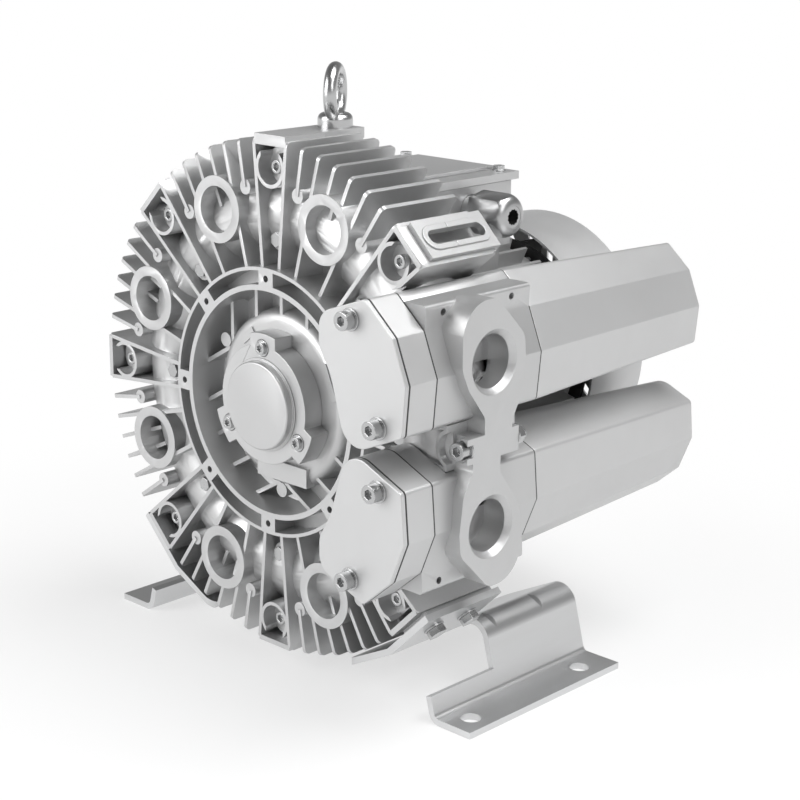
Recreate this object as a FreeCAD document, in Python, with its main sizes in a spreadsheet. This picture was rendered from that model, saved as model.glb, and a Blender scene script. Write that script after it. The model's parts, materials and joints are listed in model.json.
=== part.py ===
import FreeCAD, Part
import math
import os

import Sketcher
from FreeCAD import Placement, Rotation, Vector

# Side channel blower with a flanged motor, two silencers and two bent foot brackets.
# Millimetres. The origin is on the floor, midway between the four foot holes.
# X points to the ports, Y from the front casing to the fan cowl, Z up.
# Depths are measured along Y from the machined face of the front ring.

SIZES = [
    ("shaft_height", "210", "shaft axis above the floor"),
    ("foot_span_across", "346", "foot holes, left to right"),
    ("foot_span_along", "124", "foot holes, front to rear"),
    ("foot_hole", "15", "foot hole diameter"),
    ("front_overhang", "36", "ring face ahead of the front foot holes"),
    ("fin_radius", "193", "casing fins, outer radius"),
    ("fin_thickness", "3", "casing fin thickness"),
    ("fin_front", "5", "depth of the front edges of the fins"),
    ("split_depth", "44", "depth of the joint between the casings"),
    ("casing_depth", "81", "depth of the rear edges of the fins"),
    ("ring_radius", "101", "front ring, outer radius"),
    ("ring_inner", "84", "front ring, inner radius"),
    ("ring_groove_outer", "98.4", "groove in the ring, outer radius"),
    ("ring_groove_inner", "88", "groove in the ring, inner radius"),
    ("ring_groove_depth", "20", "depth of the groove in the ring"),
    ("ring_hole_circle", "93", "threaded holes in the ring, pitch radius"),
    ("ring_hole", "5", "threaded hole diameter"),
    ("ring_pad", "15", "width of the pad round each ring hole"),
    ("eye_pitch", "147", "round openings in the casing, pitch radius"),
    ("eye_radius", "25", "round opening, outer radius"),
    ("eye_bore", "17.5", "round opening, bore radius"),
    ("eye_front", "3", "depth of the front edges of the round openings"),
    ("pin_pitch", "158", "cast pins, pitch radius"),
    ("pin_radius", "5.5", "cast pin radius"),
    ("pin_front", "6", "depth of the front ends of the cast pins"),
    ("channel_pitch", "136", "side channel, centre radius"),
    ("channel_bore", "25", "side channel, section radius"),
    ("channel_wall", "7", "side channel wall"),
    ("web_front", "30", "depth of the bottom of the front bowl"),
    ("web_wall", "6", "casing web thickness"),
    ("hub_radius", "44.8", "hub under the bearing cover, radius"),
    ("hub_depth", "13", "depth of the hub face"),
    ("dome_radius", "67", "hub dome, radius"),
    ("dome_edge", "8", "rounding of the edge of the hub dome"),
    ("rib_spacing", "27", "ribs in the bowl, spacing"),
    ("rib_thickness", "3", "ribs in the bowl, thickness"),
    ("bolt_pitch", "172.5", "casing bolts, pitch radius"),
    ("bolt_boss", "14.7", "casing bolt pocket, outer radius"),
    ("bolt_pocket", "12", "casing bolt pocket, bore radius"),
    ("pocket_depth", "17", "depth of the casing bolt seat"),
    ("cap_plate", "4", "plate that closes each bolt pocket"),
    ("rail_reach", "196", "mounting rails, distance from the shaft axis"),
    ("rail_width", "30", "mounting rail width"),
    ("rail_front", "15", "depth of the front end of a rail"),
    ("rail_rear", "84", "depth of the rear end of a rail"),
    ("rail_slot", "11", "slot in a rail, width"),
    ("rail_slot_front", "22", "depth of the front end of the slot"),
    ("rail_slot_rear", "77", "depth of the rear end of the slot"),
    ("cover_front", "4", "bearing cover ahead of the ring face"),
    ("cover_wall", "4", "bearing cover front wall"),
    ("lobe_pitch", "42.5", "bearing cover screws, pitch radius"),
    ("lobe_half_width", "13.5", "bearing cover lobe, half width"),
    ("lobe_reach", "53.3", "bearing cover lobe, outer radius"),
    ("cap_radius", "34", "round cap on the bearing cover, radius"),
    ("cap_height", "6.5", "round cap height"),
    ("front_bearing_outer", "27.5", "front bearing, outer radius"),
    ("front_bearing_bore", "15", "front bearing, bore radius"),
    ("front_bearing_width", "13", "front bearing width"),
    ("rear_bearing_outer", "26", "rear bearing, outer radius"),
    ("rear_bearing_bore", "12.5", "rear bearing, bore radius"),
    ("rear_bearing_width", "15", "rear bearing width"),
    ("ball_radius", "4", "bearing ball radius"),
    ("ball_gap", "0.3", "gap between ball and races"),
    ("impeller_seat", "17", "shaft radius at the impeller"),
    ("shaft_main", "19", "shaft radius behind the impeller"),
    ("impeller_hub", "26", "impeller hub radius"),
    ("impeller_web", "8", "impeller web thickness"),
    ("impeller_gap", "1.2", "least gap between impeller and channel"),
    ("vane_thickness", "2.5", "impeller vane thickness"),
    ("seal_radius", "27", "shaft seal, outer radius"),
    ("seal_width", "8", "shaft seal width"),
    ("running_gap", "0.5", "gap round the turning shaft"),
    ("core_front", "110", "depth of the front of the motor core"),
    ("core_length", "110", "motor core length"),
    ("core_bore", "45", "stator bore radius"),
    ("core_radius", "78", "stator outer radius"),
    ("air_gap", "0.5", "gap between rotor and stator"),
    ("winding_length", "20", "end winding length"),
    ("motor_wall", "6", "motor housing wall"),
    ("motor_fin_radius", "98", "motor housing fins, outer radius"),
    ("motor_fin", "2.5", "motor housing fin thickness"),
    ("motor_front", "60", "depth of the motor flange"),
    ("motor_rear", "246", "depth of the rear face of the motor housing"),
    ("flange_radius", "104", "motor flange radius"),
    ("flange_width", "10", "motor flange thickness"),
    ("cowl_radius", "104", "fan cowl, outer radius"),
    ("cowl_front", "253", "depth of the front rim of the cowl"),
    ("cowl_rear", "325", "depth of the rear face of the cowl"),
    ("cowl_wall", "2", "fan cowl sheet thickness"),
    ("fan_radius", "88", "cooling fan radius"),
    ("box_half_width", "56", "terminal box, half width"),
    ("box_front", "90", "depth of the front of the terminal box"),
    ("box_rear", "204", "depth of the rear of the terminal box"),
    ("box_floor", "99", "terminal box floor above the shaft"),
    ("box_top", "149", "top rim of the terminal box above the shaft"),
    ("box_wall", "4", "terminal box wall"),
    ("lid_rim", "4", "terminal box lid overhang"),
    ("lid_height", "8", "terminal box lid thickness"),
    ("seal_sheet", "1", "gasket thickness"),
    ("gland_depth", "158", "depth of the cable gland axis"),
    ("gland_height", "131", "cable gland axis above the shaft"),
    ("gland_hex", "17", "cable gland, radius of the hexagon"),
    ("gland_bore", "6.5", "cable gland bore radius"),
    ("plug_depth", "112", "depth of the blanking plug axis"),
    ("silencer_front", "39", "silencer cover ahead of the ring face"),
    ("silencer_cover", "4", "silencer cover thickness"),
    ("silencer_seam", "8", "adapter ahead of the ring face"),
    ("adapter_rear", "98", "depth of the rear face of the adapters"),
    ("silencer_rear", "300", "depth of the rear end of the silencers"),
    ("silencer_wall", "4", "silencer wall"),
    ("silencer_draft", "2", "silencer draft angle in degrees"),
    ("foam_gap", "0.5", "gap round the foam liners"),
    ("foam_thickness", "9", "foam liner thickness"),
    ("port_face", "184", "port face from the shaft axis"),
    ("port_depth", "40", "depth of the port axes"),
    ("port_height", "58.6", "port axes above and below the shaft axis"),
    ("port_bore", "19", "port bore radius"),
    ("port_passage", "8", "passage from the side channel to a port, radius"),
    ("port_chamber", "160", "inner end of the chamber behind each port bore"),
    ("port_lip", "4", "chamfer of the port mouth"),
    ("plate_root", "160", "inner side of the port plate"),
    ("wing_face", "165", "outer face of the adapter wings"),
    ("wing_height", "101.5", "top of the adapter wings above the shaft"),
    ("seat_gap", "0.5", "gap between the adapters and the casing"),
    ("sheet_thickness", "5", "foot bracket sheet"),
    ("foot_half_width", "189", "outer edge of the feet from the middle"),
    ("foot_upright", "157", "outer face of the foot uprights at the floor"),
    ("foot_lean", "15", "inward lean of the foot uprights in degrees"),
    ("foot_bend", "16", "outer radius of the bend over the uprights"),
    ("foot_corner", "4.5", "inner radius of the bend at the floor"),
    ("foot_end", "74.6", "inner end of each bracket from the middle"),
    ("foot_front_right", "17", "depth of the front end of the right foot"),
    ("foot_front_left", "9", "depth of the front end of the left foot"),
    ("foot_rear", "188", "depth of the rear end of the feet"),
    ("cradle_front", "8", "depth of the front edge of the cradle"),
    ("upright_front", "85", "depth of the front edge of the uprights"),
    ("foot_strip", "20.5", "height of the strip ahead of the uprights"),
    ("foot_bolt_front", "29", "depth of the front foot bolts"),
    ("foot_bolt_spacing", "35", "foot bolts, spacing along the rail"),
    ("eyebolt_depth", "70", "depth of the eyebolt"),
    ("eyebolt_ring", "17.5", "eyebolt ring, centre line radius"),
    ("eyebolt_wire", "5", "eyebolt ring, section radius"),
    ("eyebolt_thread", "5", "eyebolt shank radius"),
    ("eyebolt_collar", "13", "eyebolt collar radius"),
    ("thread_gap", "0.2", "gap round screw shanks"),
]


class Size:
    """A number together with the sheet formula that gives it."""

    def __init__(self, value, text):
        self.value = float(value)
        self.text = text

    def __float__(self):
        return self.value

    def __add__(self, other):
        other = size(other)
        return Size(self.value + other.value, f"({self.text} + {other.text})")

    def __sub__(self, other):
        other = size(other)
        return Size(self.value - other.value, f"({self.text} - {other.text})")

    def __mul__(self, other):
        other = size(other)
        return Size(self.value * other.value, f"({self.text} * {other.text})")

    def __truediv__(self, other):
        other = size(other)
        return Size(self.value / other.value, f"({self.text} / {other.text})")

    def __neg__(self):
        return Size(-self.value, f"(0 - {self.text})")

    def __radd__(self, other):
        return size(other) + self

    def __rsub__(self, other):
        return size(other) - self

    def __rmul__(self, other):
        return size(other) * self


def size(number):
    if isinstance(number, Size):
        return number
    return Size(number, f"{float(number):.9g}" if number >= 0 else f"(0 - {-float(number):.9g})")


def cosine(degrees):
    degrees = size(degrees)
    return Size(math.cos(math.radians(degrees.value)), f"cos({degrees.text})")


def sine(degrees):
    degrees = size(degrees)
    return Size(math.sin(math.radians(degrees.value)), f"sin({degrees.text})")


def root(number):
    return Size(math.sqrt(number.value), f"sqrt({number.text})")


def polar(radius, degrees):
    return (radius * cosine(degrees), radius * sine(degrees))


doc = FreeCAD.newDocument("side_channel_blower")
sheet = doc.addObject("Spreadsheet::Sheet", "Dims")


class Dimensions:
    """Gives each named size of the sheet as an attribute."""


d = Dimensions()
for row, (name, number, meaning) in enumerate(SIZES, 1):
    sheet.set(f"A{row}", meaning)
    sheet.set(f"B{row}", number)
    sheet.setAlias(f"B{row}", name)
    setattr(d, name, Size(number, f"Dims.{name}"))
doc.recompute()

parts = {}


class Numbers:
    """Reads one size of the sheet as a plain number."""

    def __getattr__(self, name):
        return float(sheet.get(name))


n = Numbers()


# Helpers for bound bodies. A body's Y axis is the shaft axis, its origin is in the ring face.

face_place = -(d.foot_span_along / 2 + d.front_overhang)


def place(item):
    """Put an item made in the shaft frame where the shaft is."""
    item.setExpression(".Placement.Base.y", face_place.text)
    item.setExpression(".Placement.Base.z", d.shaft_height.text)


def new_body(label):
    body = doc.addObject("PartDesign::Body", label)
    body.Label = label
    place(body)
    parts[label] = body
    return body


def sketch_on(body, role, offset=0):
    """A sketch on one of the body's own planes, moved along that plane's normal."""
    sketch = body.newObject("Sketcher::SketchObject", "Sketch")
    plane = next(item for item in body.Origin.OriginFeatures if item.Role == role)
    sketch.AttachmentSupport = [(plane, "")]
    sketch.MapMode = "FlatFace"
    sketch.setExpression(".AttachmentOffset.Base.z", size(offset).text)
    return sketch


def facing(body, depth):
    """A sketch across the shaft at a depth, X to the right and Z up."""
    return sketch_on(body, "XZ_Plane", -size(depth))


def bind_point(sketch, piece, corner, across, up):
    """Tie one point of a sketch to the sketch axes."""
    for kind, axis, distance in (("DistanceX", -2, across), ("DistanceY", -1, up)):
        if distance.value == 0:
            sketch.addConstraint(Sketcher.Constraint("PointOnObject", piece, corner, axis))
            continue
        ends = (-1, 1, piece, corner) if distance.value > 0 else (piece, corner, -1, 1)
        measured = distance if distance.value > 0 else -distance
        number = sketch.addConstraint(Sketcher.Constraint(kind, *ends, measured.value))
        sketch.setExpression(f"Constraints[{number}]", measured.text)


def outline(sketch, corners, arcs=None):
    """A closed outline through bound corners; arcs maps a corner to (centre, radius, turn)."""
    corners = [(size(across), size(up)) for across, up in corners]
    arcs = arcs or {}
    count = len(corners)
    points = [Vector(float(across), float(up), 0) for across, up in corners]
    ends = []
    for index in range(count):
        start, stop = points[index], points[(index + 1) % count]
        if index not in arcs:
            number = sketch.addGeometry(Part.LineSegment(start, stop), False)
            ends.append((number, 1, 2))
            continue
        (across, up), radius, turn = arcs[index]
        middle = Vector(float(across), float(up), 0)
        angles = [math.atan2(point.y - middle.y, point.x - middle.x) for point in (start, stop)]
        circle = Part.Circle(middle, Vector(0, 0, 1), float(radius))
        first, last = (0, 1) if turn > 0 else (1, 0)
        number = sketch.addGeometry(Part.ArcOfCircle(circle, angles[first], angles[last]), False)
        ends.append((number, 1, 2) if turn > 0 else (number, 2, 1))
    for index in range(count):
        here, after = ends[index], ends[(index + 1) % count]
        joint = Sketcher.Constraint("Coincident", here[0], here[2], after[0], after[1])
        sketch.addConstraint(joint)
    for index, (across, up) in enumerate(corners):
        bind_point(sketch, ends[index][0], ends[index][1], across, up)
    for index, (_, radius, _) in arcs.items():
        rule = Sketcher.Constraint("Radius", ends[index][0], float(radius))
        number = sketch.addConstraint(rule)
        sketch.setExpression(f"Constraints[{number}]", size(radius).text)


def circle_in(sketch, across, up, radius):
    """A full circle with bound centre and radius."""
    across, up, radius = size(across), size(up), size(radius)
    middle = Vector(float(across), float(up), 0)
    number = sketch.addGeometry(Part.Circle(middle, Vector(0, 0, 1), float(radius)), False)
    rule = sketch.addConstraint(Sketcher.Constraint("Radius", number, float(radius)))
    sketch.setExpression(f"Constraints[{rule}]", radius.text)
    bind_point(sketch, number, 3, across, up)


def box_in(sketch, left, right, low, high):
    outline(sketch, [(left, low), (right, low), (right, high), (left, high)])


def revolve(body, corners, arcs=None, cut=False):
    """Turn a (radius, depth) outline about the shaft axis, or cut it away."""
    sketch = sketch_on(body, "XY_Plane")
    outline(sketch, corners, arcs)
    kind = "PartDesign::Groove" if cut else "PartDesign::Revolution"
    feature = body.newObject(kind, "Turned")
    feature.Profile = sketch
    feature.ReferenceAxis = (sketch, ["V_Axis"])
    feature.Angle = 360
    return feature


def extrude(body, sketch, length, cut=False, back=True, taper=None):
    """Pad or pocket a sketch; back means against the normal of the sketch."""
    feature = body.newObject("PartDesign::Pocket" if cut else "PartDesign::Pad", "Feature")
    feature.Profile = sketch
    feature.setExpression("Length", size(length).text)
    feature.Reversed = back != cut
    if taper is not None:
        feature.setExpression("TaperAngle", size(taper).text)
    return feature


def repeat(body, features, count):
    """Repeat features round the shaft axis."""
    pattern = body.newObject("PartDesign::PolarPattern", "Repeated")
    pattern.Originals = features
    axis = next(item for item in body.Origin.OriginFeatures if item.Role == "Y_Axis")
    pattern.Axis = (axis, [""])
    pattern.Angle = 360
    pattern.Occurrences = count
    body.Tip = pattern
    return pattern


def turned_body(label, corners, arcs=None):
    body = new_body(label)
    revolve(body, corners, arcs)
    return body


def blade(thickness, inner, outer, degrees):
    """Corners of a straight rib that stands out from the axis at an angle."""
    across, up = cosine(degrees), sine(degrees)
    half = thickness / 2
    corners = []
    for radius, side in ((inner, -1), (outer, -1), (outer, 1), (inner, 1)):
        corners.append((radius * across - up * (half * side), radius * up + across * (half * side)))
    return corners


# Helpers for solids made straight from numbers, in the same shaft frame

SHAFT = Vector(0, 1, 0)
CENTRE = Vector(0, 0, 0)


def solid_node(label, shape):
    item = doc.addObject("Part::Feature", label)
    item.Label = label
    item.Shape = shape
    place(item)
    parts[label] = item
    return item


def group(label, shapes):
    """Several equal solids that share one node."""
    return solid_node(label, Part.makeCompound(shapes))


def around(shape, degrees):
    """A copy turned about the shaft axis, from X towards Z."""
    copy = shape.copy()
    copy.rotate(CENTRE, SHAFT, -degrees)
    return copy


def moved(shape, across, depth, up):
    copy = shape.copy()
    copy.translate(Vector(across, depth, up))
    return copy


def share(label, names):
    """Let pieces of one kind share a node."""
    item = doc.addObject("Part::Compound", label)
    item.Label = label
    item.Links = [parts.pop(name) for name in names]
    parts[label] = item


def on_circle(shape, radius, degrees, depth=0):
    """A copy moved out from the axis and turned round it."""
    return around(moved(shape, radius, depth, 0), degrees)


def round_bar(radius, front, rear, across=0, up=0):
    return Part.makeCylinder(radius, rear - front, Vector(across, front, up), SHAFT)


def brick(left, right, front, rear, low, high):
    return Part.makeBox(right - left, rear - front, high - low, Vector(left, front, low))


def rib(inner, outer, thickness, front, rear, degrees=0):
    return around(brick(inner, outer, front, rear, -thickness / 2, thickness / 2), degrees)


def turned_solid(corners, arcs=None):
    """Turn a (radius, depth) outline; arcs maps a corner to a point in the middle of its arc."""
    arcs = arcs or {}
    points = [Vector(radius, depth, 0) for radius, depth in corners]
    edges = []
    for index, start in enumerate(points):
        stop = points[(index + 1) % len(points)]
        if index in arcs:
            edges.append(Part.Arc(start, Vector(*arcs[index], 0), stop).toShape())
        else:
            edges.append(Part.LineSegment(start, stop).toShape())
    return Part.Face(Part.Wire(edges)).revolve(CENTRE, SHAFT, 360)


def prism(corners, front, rear):
    """Extrude an (across, up) outline along the shaft axis."""
    points = [Vector(across, front, up) for across, up in corners]
    face = Part.Face(Part.makePolygon(points + points[:1]))
    return face.extrude(SHAFT * (rear - front))


def rounded(corners, radii):
    """An outline with rounded corners: its points, and each arc by the point where it starts."""
    points, arcs = [], {}
    for index, (corner, radius) in enumerate(zip(corners, radii)):
        if radius == 0:
            points.append(corner)
            continue
        ways = []
        for other in (corners[index - 1], corners[(index + 1) % len(corners)]):
            length = math.dist(corner, other)
            ways.append(((other[0] - corner[0]) / length, (other[1] - corner[1]) / length))
        (before, rise), (after, climb) = ways
        half = math.acos(before * after + rise * climb) / 2
        reach = radius / math.tan(half)
        out = radius / math.sin(half) / math.hypot(before + after, rise + climb)
        centre = (corner[0] + (before + after) * out, corner[1] + (rise + climb) * out)
        turn = 1 if rise * after > before * climb else -1
        arcs[len(points)] = (centre, radius, turn)
        points += [(corner[0] + across * reach, corner[1] + up * reach) for across, up in ways]
    return points, arcs


def rounded_wire(points, arcs, spot):
    """A closed wire through rounded() points; spot gives the place of a drawn point."""
    edges = []
    for index, start in enumerate(points):
        stop = points[(index + 1) % len(points)]
        if index not in arcs:
            edges.append(Part.LineSegment(spot(start), spot(stop)).toShape())
            continue
        (across, up), radius, _ = arcs[index]
        run, rise = (start[0] + stop[0]) / 2 - across, (start[1] + stop[1]) / 2 - up
        share = radius / math.hypot(run, rise)
        middle = (across + run * share, up + rise * share)
        edges.append(Part.Arc(spot(start), spot(middle), spot(stop)).toShape())
    return Part.Wire(edges)


def rounded_prism(outline_points, front, rear):
    """Extrude a rounded() outline along the shaft axis."""
    points, arcs = outline_points
    wire = rounded_wire(points, arcs, lambda place: Vector(place[0], front, place[1]))
    return Part.Face(wire).extrude(SHAFT * (rear - front))


def hexagon(radius, front, rear, across=0, up=0):
    corners = [(across + radius * math.cos(math.radians(60 * side)),
                up + radius * math.sin(math.radians(60 * side))) for side in range(6)]
    return prism(corners, front, rear)


def cap_screw(head, height, shank, length):
    """Socket head screw along the shaft axis, the seat of its head at depth 0."""
    body = round_bar(head, -height, 0).fuse(round_bar(shank, 0, length))
    return body.cut(hexagon(head * 0.55, -height - 1, -height * 0.45))


def hex_screw(head, height, shank, length):
    return hexagon(head, -height, 0).fuse(round_bar(shank, 0, length))


def washer(outer, inner, thickness):
    """A flat ring whose rear face is at depth 0."""
    return round_bar(outer, -thickness, 0).cut(round_bar(inner, -thickness, 0))


def upright_copy(shape, across, depth, up, direction):
    """A copy of a screw made along the shaft, laid along another direction."""
    copy = shape.copy()
    copy.Placement = Placement(Vector(across, depth, up), Rotation(SHAFT, direction))
    return copy


# Fasteners: screw sizes are those of the metric threads

M6_SHANK = 3
M6_HEAD = 5
M6_HEIGHT = 6
M8_SHANK = 4
M8_HEAD = 6.5
M8_HEIGHT = 8
M8_HEX = 7.5
M8_HEX_HEIGHT = 5.3
M8_NUT = 6.5
M8_WASHER = 8
M5_SHANK = 2.5
M5_HEAD = 4.2
M5_HEIGHT = 4
WASHER_THICKNESS = 1.6


# Casings. One sector of 45 degrees is made and repeated eight times.

SECTORS = 8
SECTOR = 360 / SECTORS
FIN_STEP = 5
EYE_ANGLE = SECTOR / 2
PORT_SIDE = 38
PLUG_BOSS = 8
PLUG_HEX = 5.8
PLUG_HEAD = 4
PLUG_LENGTH = 6
PLUG_INSET = 16
COVER_ANGLES = (90, 210, 330)
VANE_REACH = 21
VANE_HALF_DEPTH = 10.5
STRIPPER_HALF = 14
NUT_ROOM = 5
NUT_SIDE = 12
LIFT_PAD = 16
LIFT_BOSS = 12
EYEBOLT_SHANK = 17
FIN_CORNER = 4
BOWL_PAD = 70
DOME_PADS = ((0, -22, 31, -3, -61, -46.5), (24, 54, 60, -1, -14, 14), (128, 52, 58, -1, -8, 8))
DOME_PAD_HOLD = 6
POCKET_OPENING = 9.5
EYE_FIN_DEPTH = 14
PASSAGE_LEAD = 9

skin = n.channel_bore + n.channel_wall
skin_outer = n.channel_pitch + skin
skin_front = n.split_depth - skin
web_back = n.web_front + n.web_wall
rear_web_front = 2 * n.split_depth - web_back
rear_web_back = 2 * n.split_depth - n.web_front
plug_pitch = n.channel_pitch - PLUG_INSET
plug_seat = skin_front + 2
motor_bolt_pitch = n.flange_radius - 10
bolt_end = n.casing_depth - n.pocket_depth
eyebolt_seat = n.rail_reach
bolt_angles = [k * SECTOR for k in range(1, SECTORS)]
rail_angles = [SECTOR * k for k in (1, 3, 5, 7)]


def circle_meets(depth, section, side):
    """Radius at which a channel circle of a section radius passes a depth."""
    rise = n.split_depth - depth
    return n.channel_pitch + side * math.sqrt(section ** 2 - rise ** 2)


def fin_meets_eye(degrees, side):
    """Radius at which a fin meets the middle of a round opening's wall."""
    middle = (n.eye_radius + n.eye_bore) / 2
    turn = math.radians(degrees - EYE_ANGLE)
    lean = n.eye_pitch * math.sin(turn)
    return n.eye_pitch * math.cos(turn) + side * math.sqrt(middle ** 2 - lean ** 2)


def mirrored(corners):
    """The same (radius, depth) points on the other side of the casing joint."""
    return [(radius, 2 * n.split_depth - depth) for radius, depth in corners]


def sector_block(near, far, front, rear, half_turn):
    """A ring sector, the same angle above and below the port side."""
    points = [Vector(near, front, 0), Vector(far, front, 0), Vector(far, rear, 0),
              Vector(near, rear, 0)]
    face = Part.Face(Part.makePolygon(points + points[:1]))
    face.rotate(CENTRE, SHAFT, half_turn)
    return face.revolve(CENTRE, SHAFT, -2 * half_turn)


def channel_passage():
    """The room of the side channel and of the impeller between the casings."""
    near = circle_meets(web_back, n.channel_bore, -1)
    far = n.channel_pitch + n.channel_bore
    corners = [(0, web_back), (near, web_back), (far, n.split_depth), (0, n.split_depth)]
    front = turned_solid(corners, {1: (n.channel_pitch, n.split_depth - n.channel_bore)})
    rear = turned_solid(mirrored(corners), {1: (n.channel_pitch, n.split_depth + n.channel_bore)})
    reach = n.channel_bore + 1
    block = sector_block(n.channel_pitch - reach, n.channel_pitch + reach,
                         n.split_depth - reach, n.split_depth + reach, STRIPPER_HALF)
    vane_room = round_bar(n.channel_pitch + VANE_REACH + n.impeller_gap,
                          n.split_depth - VANE_HALF_DEPTH - n.impeller_gap,
                          n.split_depth + VANE_HALF_DEPTH + n.impeller_gap)
    hub_room = round_bar(n.channel_pitch, web_back, 2 * n.split_depth - web_back)
    return front.fuse(rear).cut(block.cut(vane_room.fuse(hub_room)))


def outer_fin(start, front, rear, degrees):
    """A fin that reaches the outer edge, its free corner rounded."""
    tip = n.fin_radius
    fin = rib(start, tip, n.fin_thickness, front, rear)
    end, way = (front, 1) if front < n.split_depth else (rear, -1)
    near, level = tip - FIN_CORNER, end + way * FIN_CORNER
    half = FIN_CORNER * math.sqrt(0.5)
    points = [Vector(near, end - way, 0), Vector(tip + 1, end - way, 0), Vector(tip + 1, level, 0),
              Vector(tip, level, 0)]
    edges = [Part.LineSegment(first, second).toShape() for first, second in zip(points, points[1:])]
    edges.append(Part.Arc(points[3], Vector(near + half, level - way * half, 0),
                          Vector(near, end, 0)).toShape())
    edges.append(Part.LineSegment(Vector(near, end, 0), points[0]).toShape())
    corner = Part.Face(Part.Wire(edges)).extrude(Vector(0, 0, n.fin_thickness + 2))
    corner.translate(Vector(0, 0, -n.fin_thickness / 2 - 1))
    return around(fin.cut(corner), degrees)


def bowl_ribs():
    """Three sets of parallel ribs between the hub dome and the ring, and a pad between them."""
    near, far = n.dome_radius - 3, n.ring_inner + 2
    half = n.rib_thickness / 2
    ribs = [round_bar(n.pin_radius, n.hub_depth + 1, n.web_front, BOWL_PAD)]
    ribs = [around(ribs[0], degrees + 60) for degrees in COVER_ANGLES]
    for place_number in range(-2, 3):
        side = place_number * n.rib_spacing
        bar = brick(math.sqrt(near ** 2 - side ** 2), math.sqrt(far ** 2 - side ** 2),
                    n.hub_depth + 2, n.web_front, side - half, side + half)
        ribs += [around(bar, degrees) for degrees in COVER_ANGLES]
    return ribs


def dome_pads():
    """Three plain raised pads on the hub dome."""
    return [around(brick(left, right, n.hub_depth + lead, n.hub_depth + DOME_PAD_HOLD, low, high),
                   degrees)
            for degrees, left, right, lead, low, high in DOME_PADS]


def bolt_box(front, rear):
    """Boss of a casing bolt and the plate that closes its pocket."""
    outer = n.fin_radius * math.cos(math.radians(FIN_STEP))
    side = n.fin_radius * math.sin(math.radians(FIN_STEP))
    plate = brick(outer - n.cap_plate, outer, front, rear, -side, side)
    return [round_bar(n.bolt_boss, front, rear, n.bolt_pitch), plate]


def rail(front, rear):
    """A mounting rail: a plate on two legs."""
    half, foot = n.rail_width / 2, n.bolt_pitch - n.bolt_boss / 2
    inner = n.rail_reach - n.cap_plate
    legs = [brick(foot, inner, front, rear, side - n.fin_thickness / 2, side + n.fin_thickness / 2)
            for side in (n.fin_thickness / 2 - half, half - n.fin_thickness / 2)]
    return [brick(inner, n.rail_reach, front, rear, -half, half)] + legs


def rail_slots():
    """Slots through the rail plates, round at both ends, and room for nuts behind them."""
    half = n.rail_slot / 2
    low, high = n.bolt_pitch + n.bolt_boss, n.rail_reach + 1
    front, rear = n.rail_slot_front + half, n.rail_slot_rear - half
    slot = brick(low, high, front, rear, -half, half)
    ends = [Part.makeCylinder(half, high - low, Vector(low, depth, 0), Vector(1, 0, 0))
            for depth in (front, rear)]
    floor = n.bolt_pitch + n.bolt_boss - NUT_ROOM
    nut_room = brick(floor, n.rail_reach - n.cap_plate, n.pocket_depth - 1, n.rail_rear - 1,
                     -NUT_SIDE, NUT_SIDE)
    whole = slot.multiFuse(ends + [nut_room])
    return [around(whole, degrees) for degrees in rail_angles]


def every_sector(shapes):
    return [around(shape, k * SECTOR) for shape in shapes for k in range(SECTORS)]


def every_rail(shapes):
    return [around(shape, degrees) for shape in shapes for degrees in rail_angles]


def clear_of_port_side(front, rear):
    """Sector beside the ports, outside the channel skin, where no fins stand."""
    return sector_block(skin_outer + n.seat_gap, n.fin_radius + n.cap_plate * 4, front, rear,
                        PORT_SIDE)


def port_bores():
    """Both port bores, each with a chamber and a passage from the side channel behind it."""
    pieces = []
    for inner, outer, radius, depth in (
            (n.channel_pitch, n.port_chamber + 1, n.port_passage, n.port_depth - PASSAGE_LEAD),
            (n.port_chamber, n.wing_face, n.port_bore + 1.5, n.port_depth),
            (n.wing_face, n.port_face + 1, n.port_bore, n.port_depth)):
        pieces += [Part.makeCylinder(radius, outer - inner,
                                     Vector(inner, depth, side * n.port_height),
                                     Vector(1, 0, 0)) for side in (1, -1)]
    return pieces


# Outline of the upper silencer in the plane across the shaft, as (across, up) corners.
# The lower silencer is its mirror image.

SILENCER = [(95.2, 91.3), (138.3, 106.9), (164, 84.7), (176.3, 54.4), (173.1, 19.1),
            (122.2, -3), (106.5, 50), (95.2, 68.5)]
SILENCER_RADII = [15, 4, 3, 3, 4, 18, 30, 15]
SILENCER_SCREWS = ((126, 91.4), (152, 22))
CLEARANCE_OUTLINE = [(104, 49.5), (93, 68), (93, 93), (138.5, 110), (167, 87), (180, 54),
                     (180, 0)]


def clear_of_silencers():
    """Room ahead of the front casing for the front parts of the adapters."""
    lower = [(across, -up) for across, up in reversed(CLEARANCE_OUTLINE[:-1])]
    corners = CLEARANCE_OUTLINE + lower + [(118, 0)]
    return prism(corners, -1, casing_lead)


casing_lead = skin_front - 2 * n.seat_gap
bolt_roof = n.fin_radius * math.cos(math.radians(FIN_STEP)) - n.cap_plate


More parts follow.
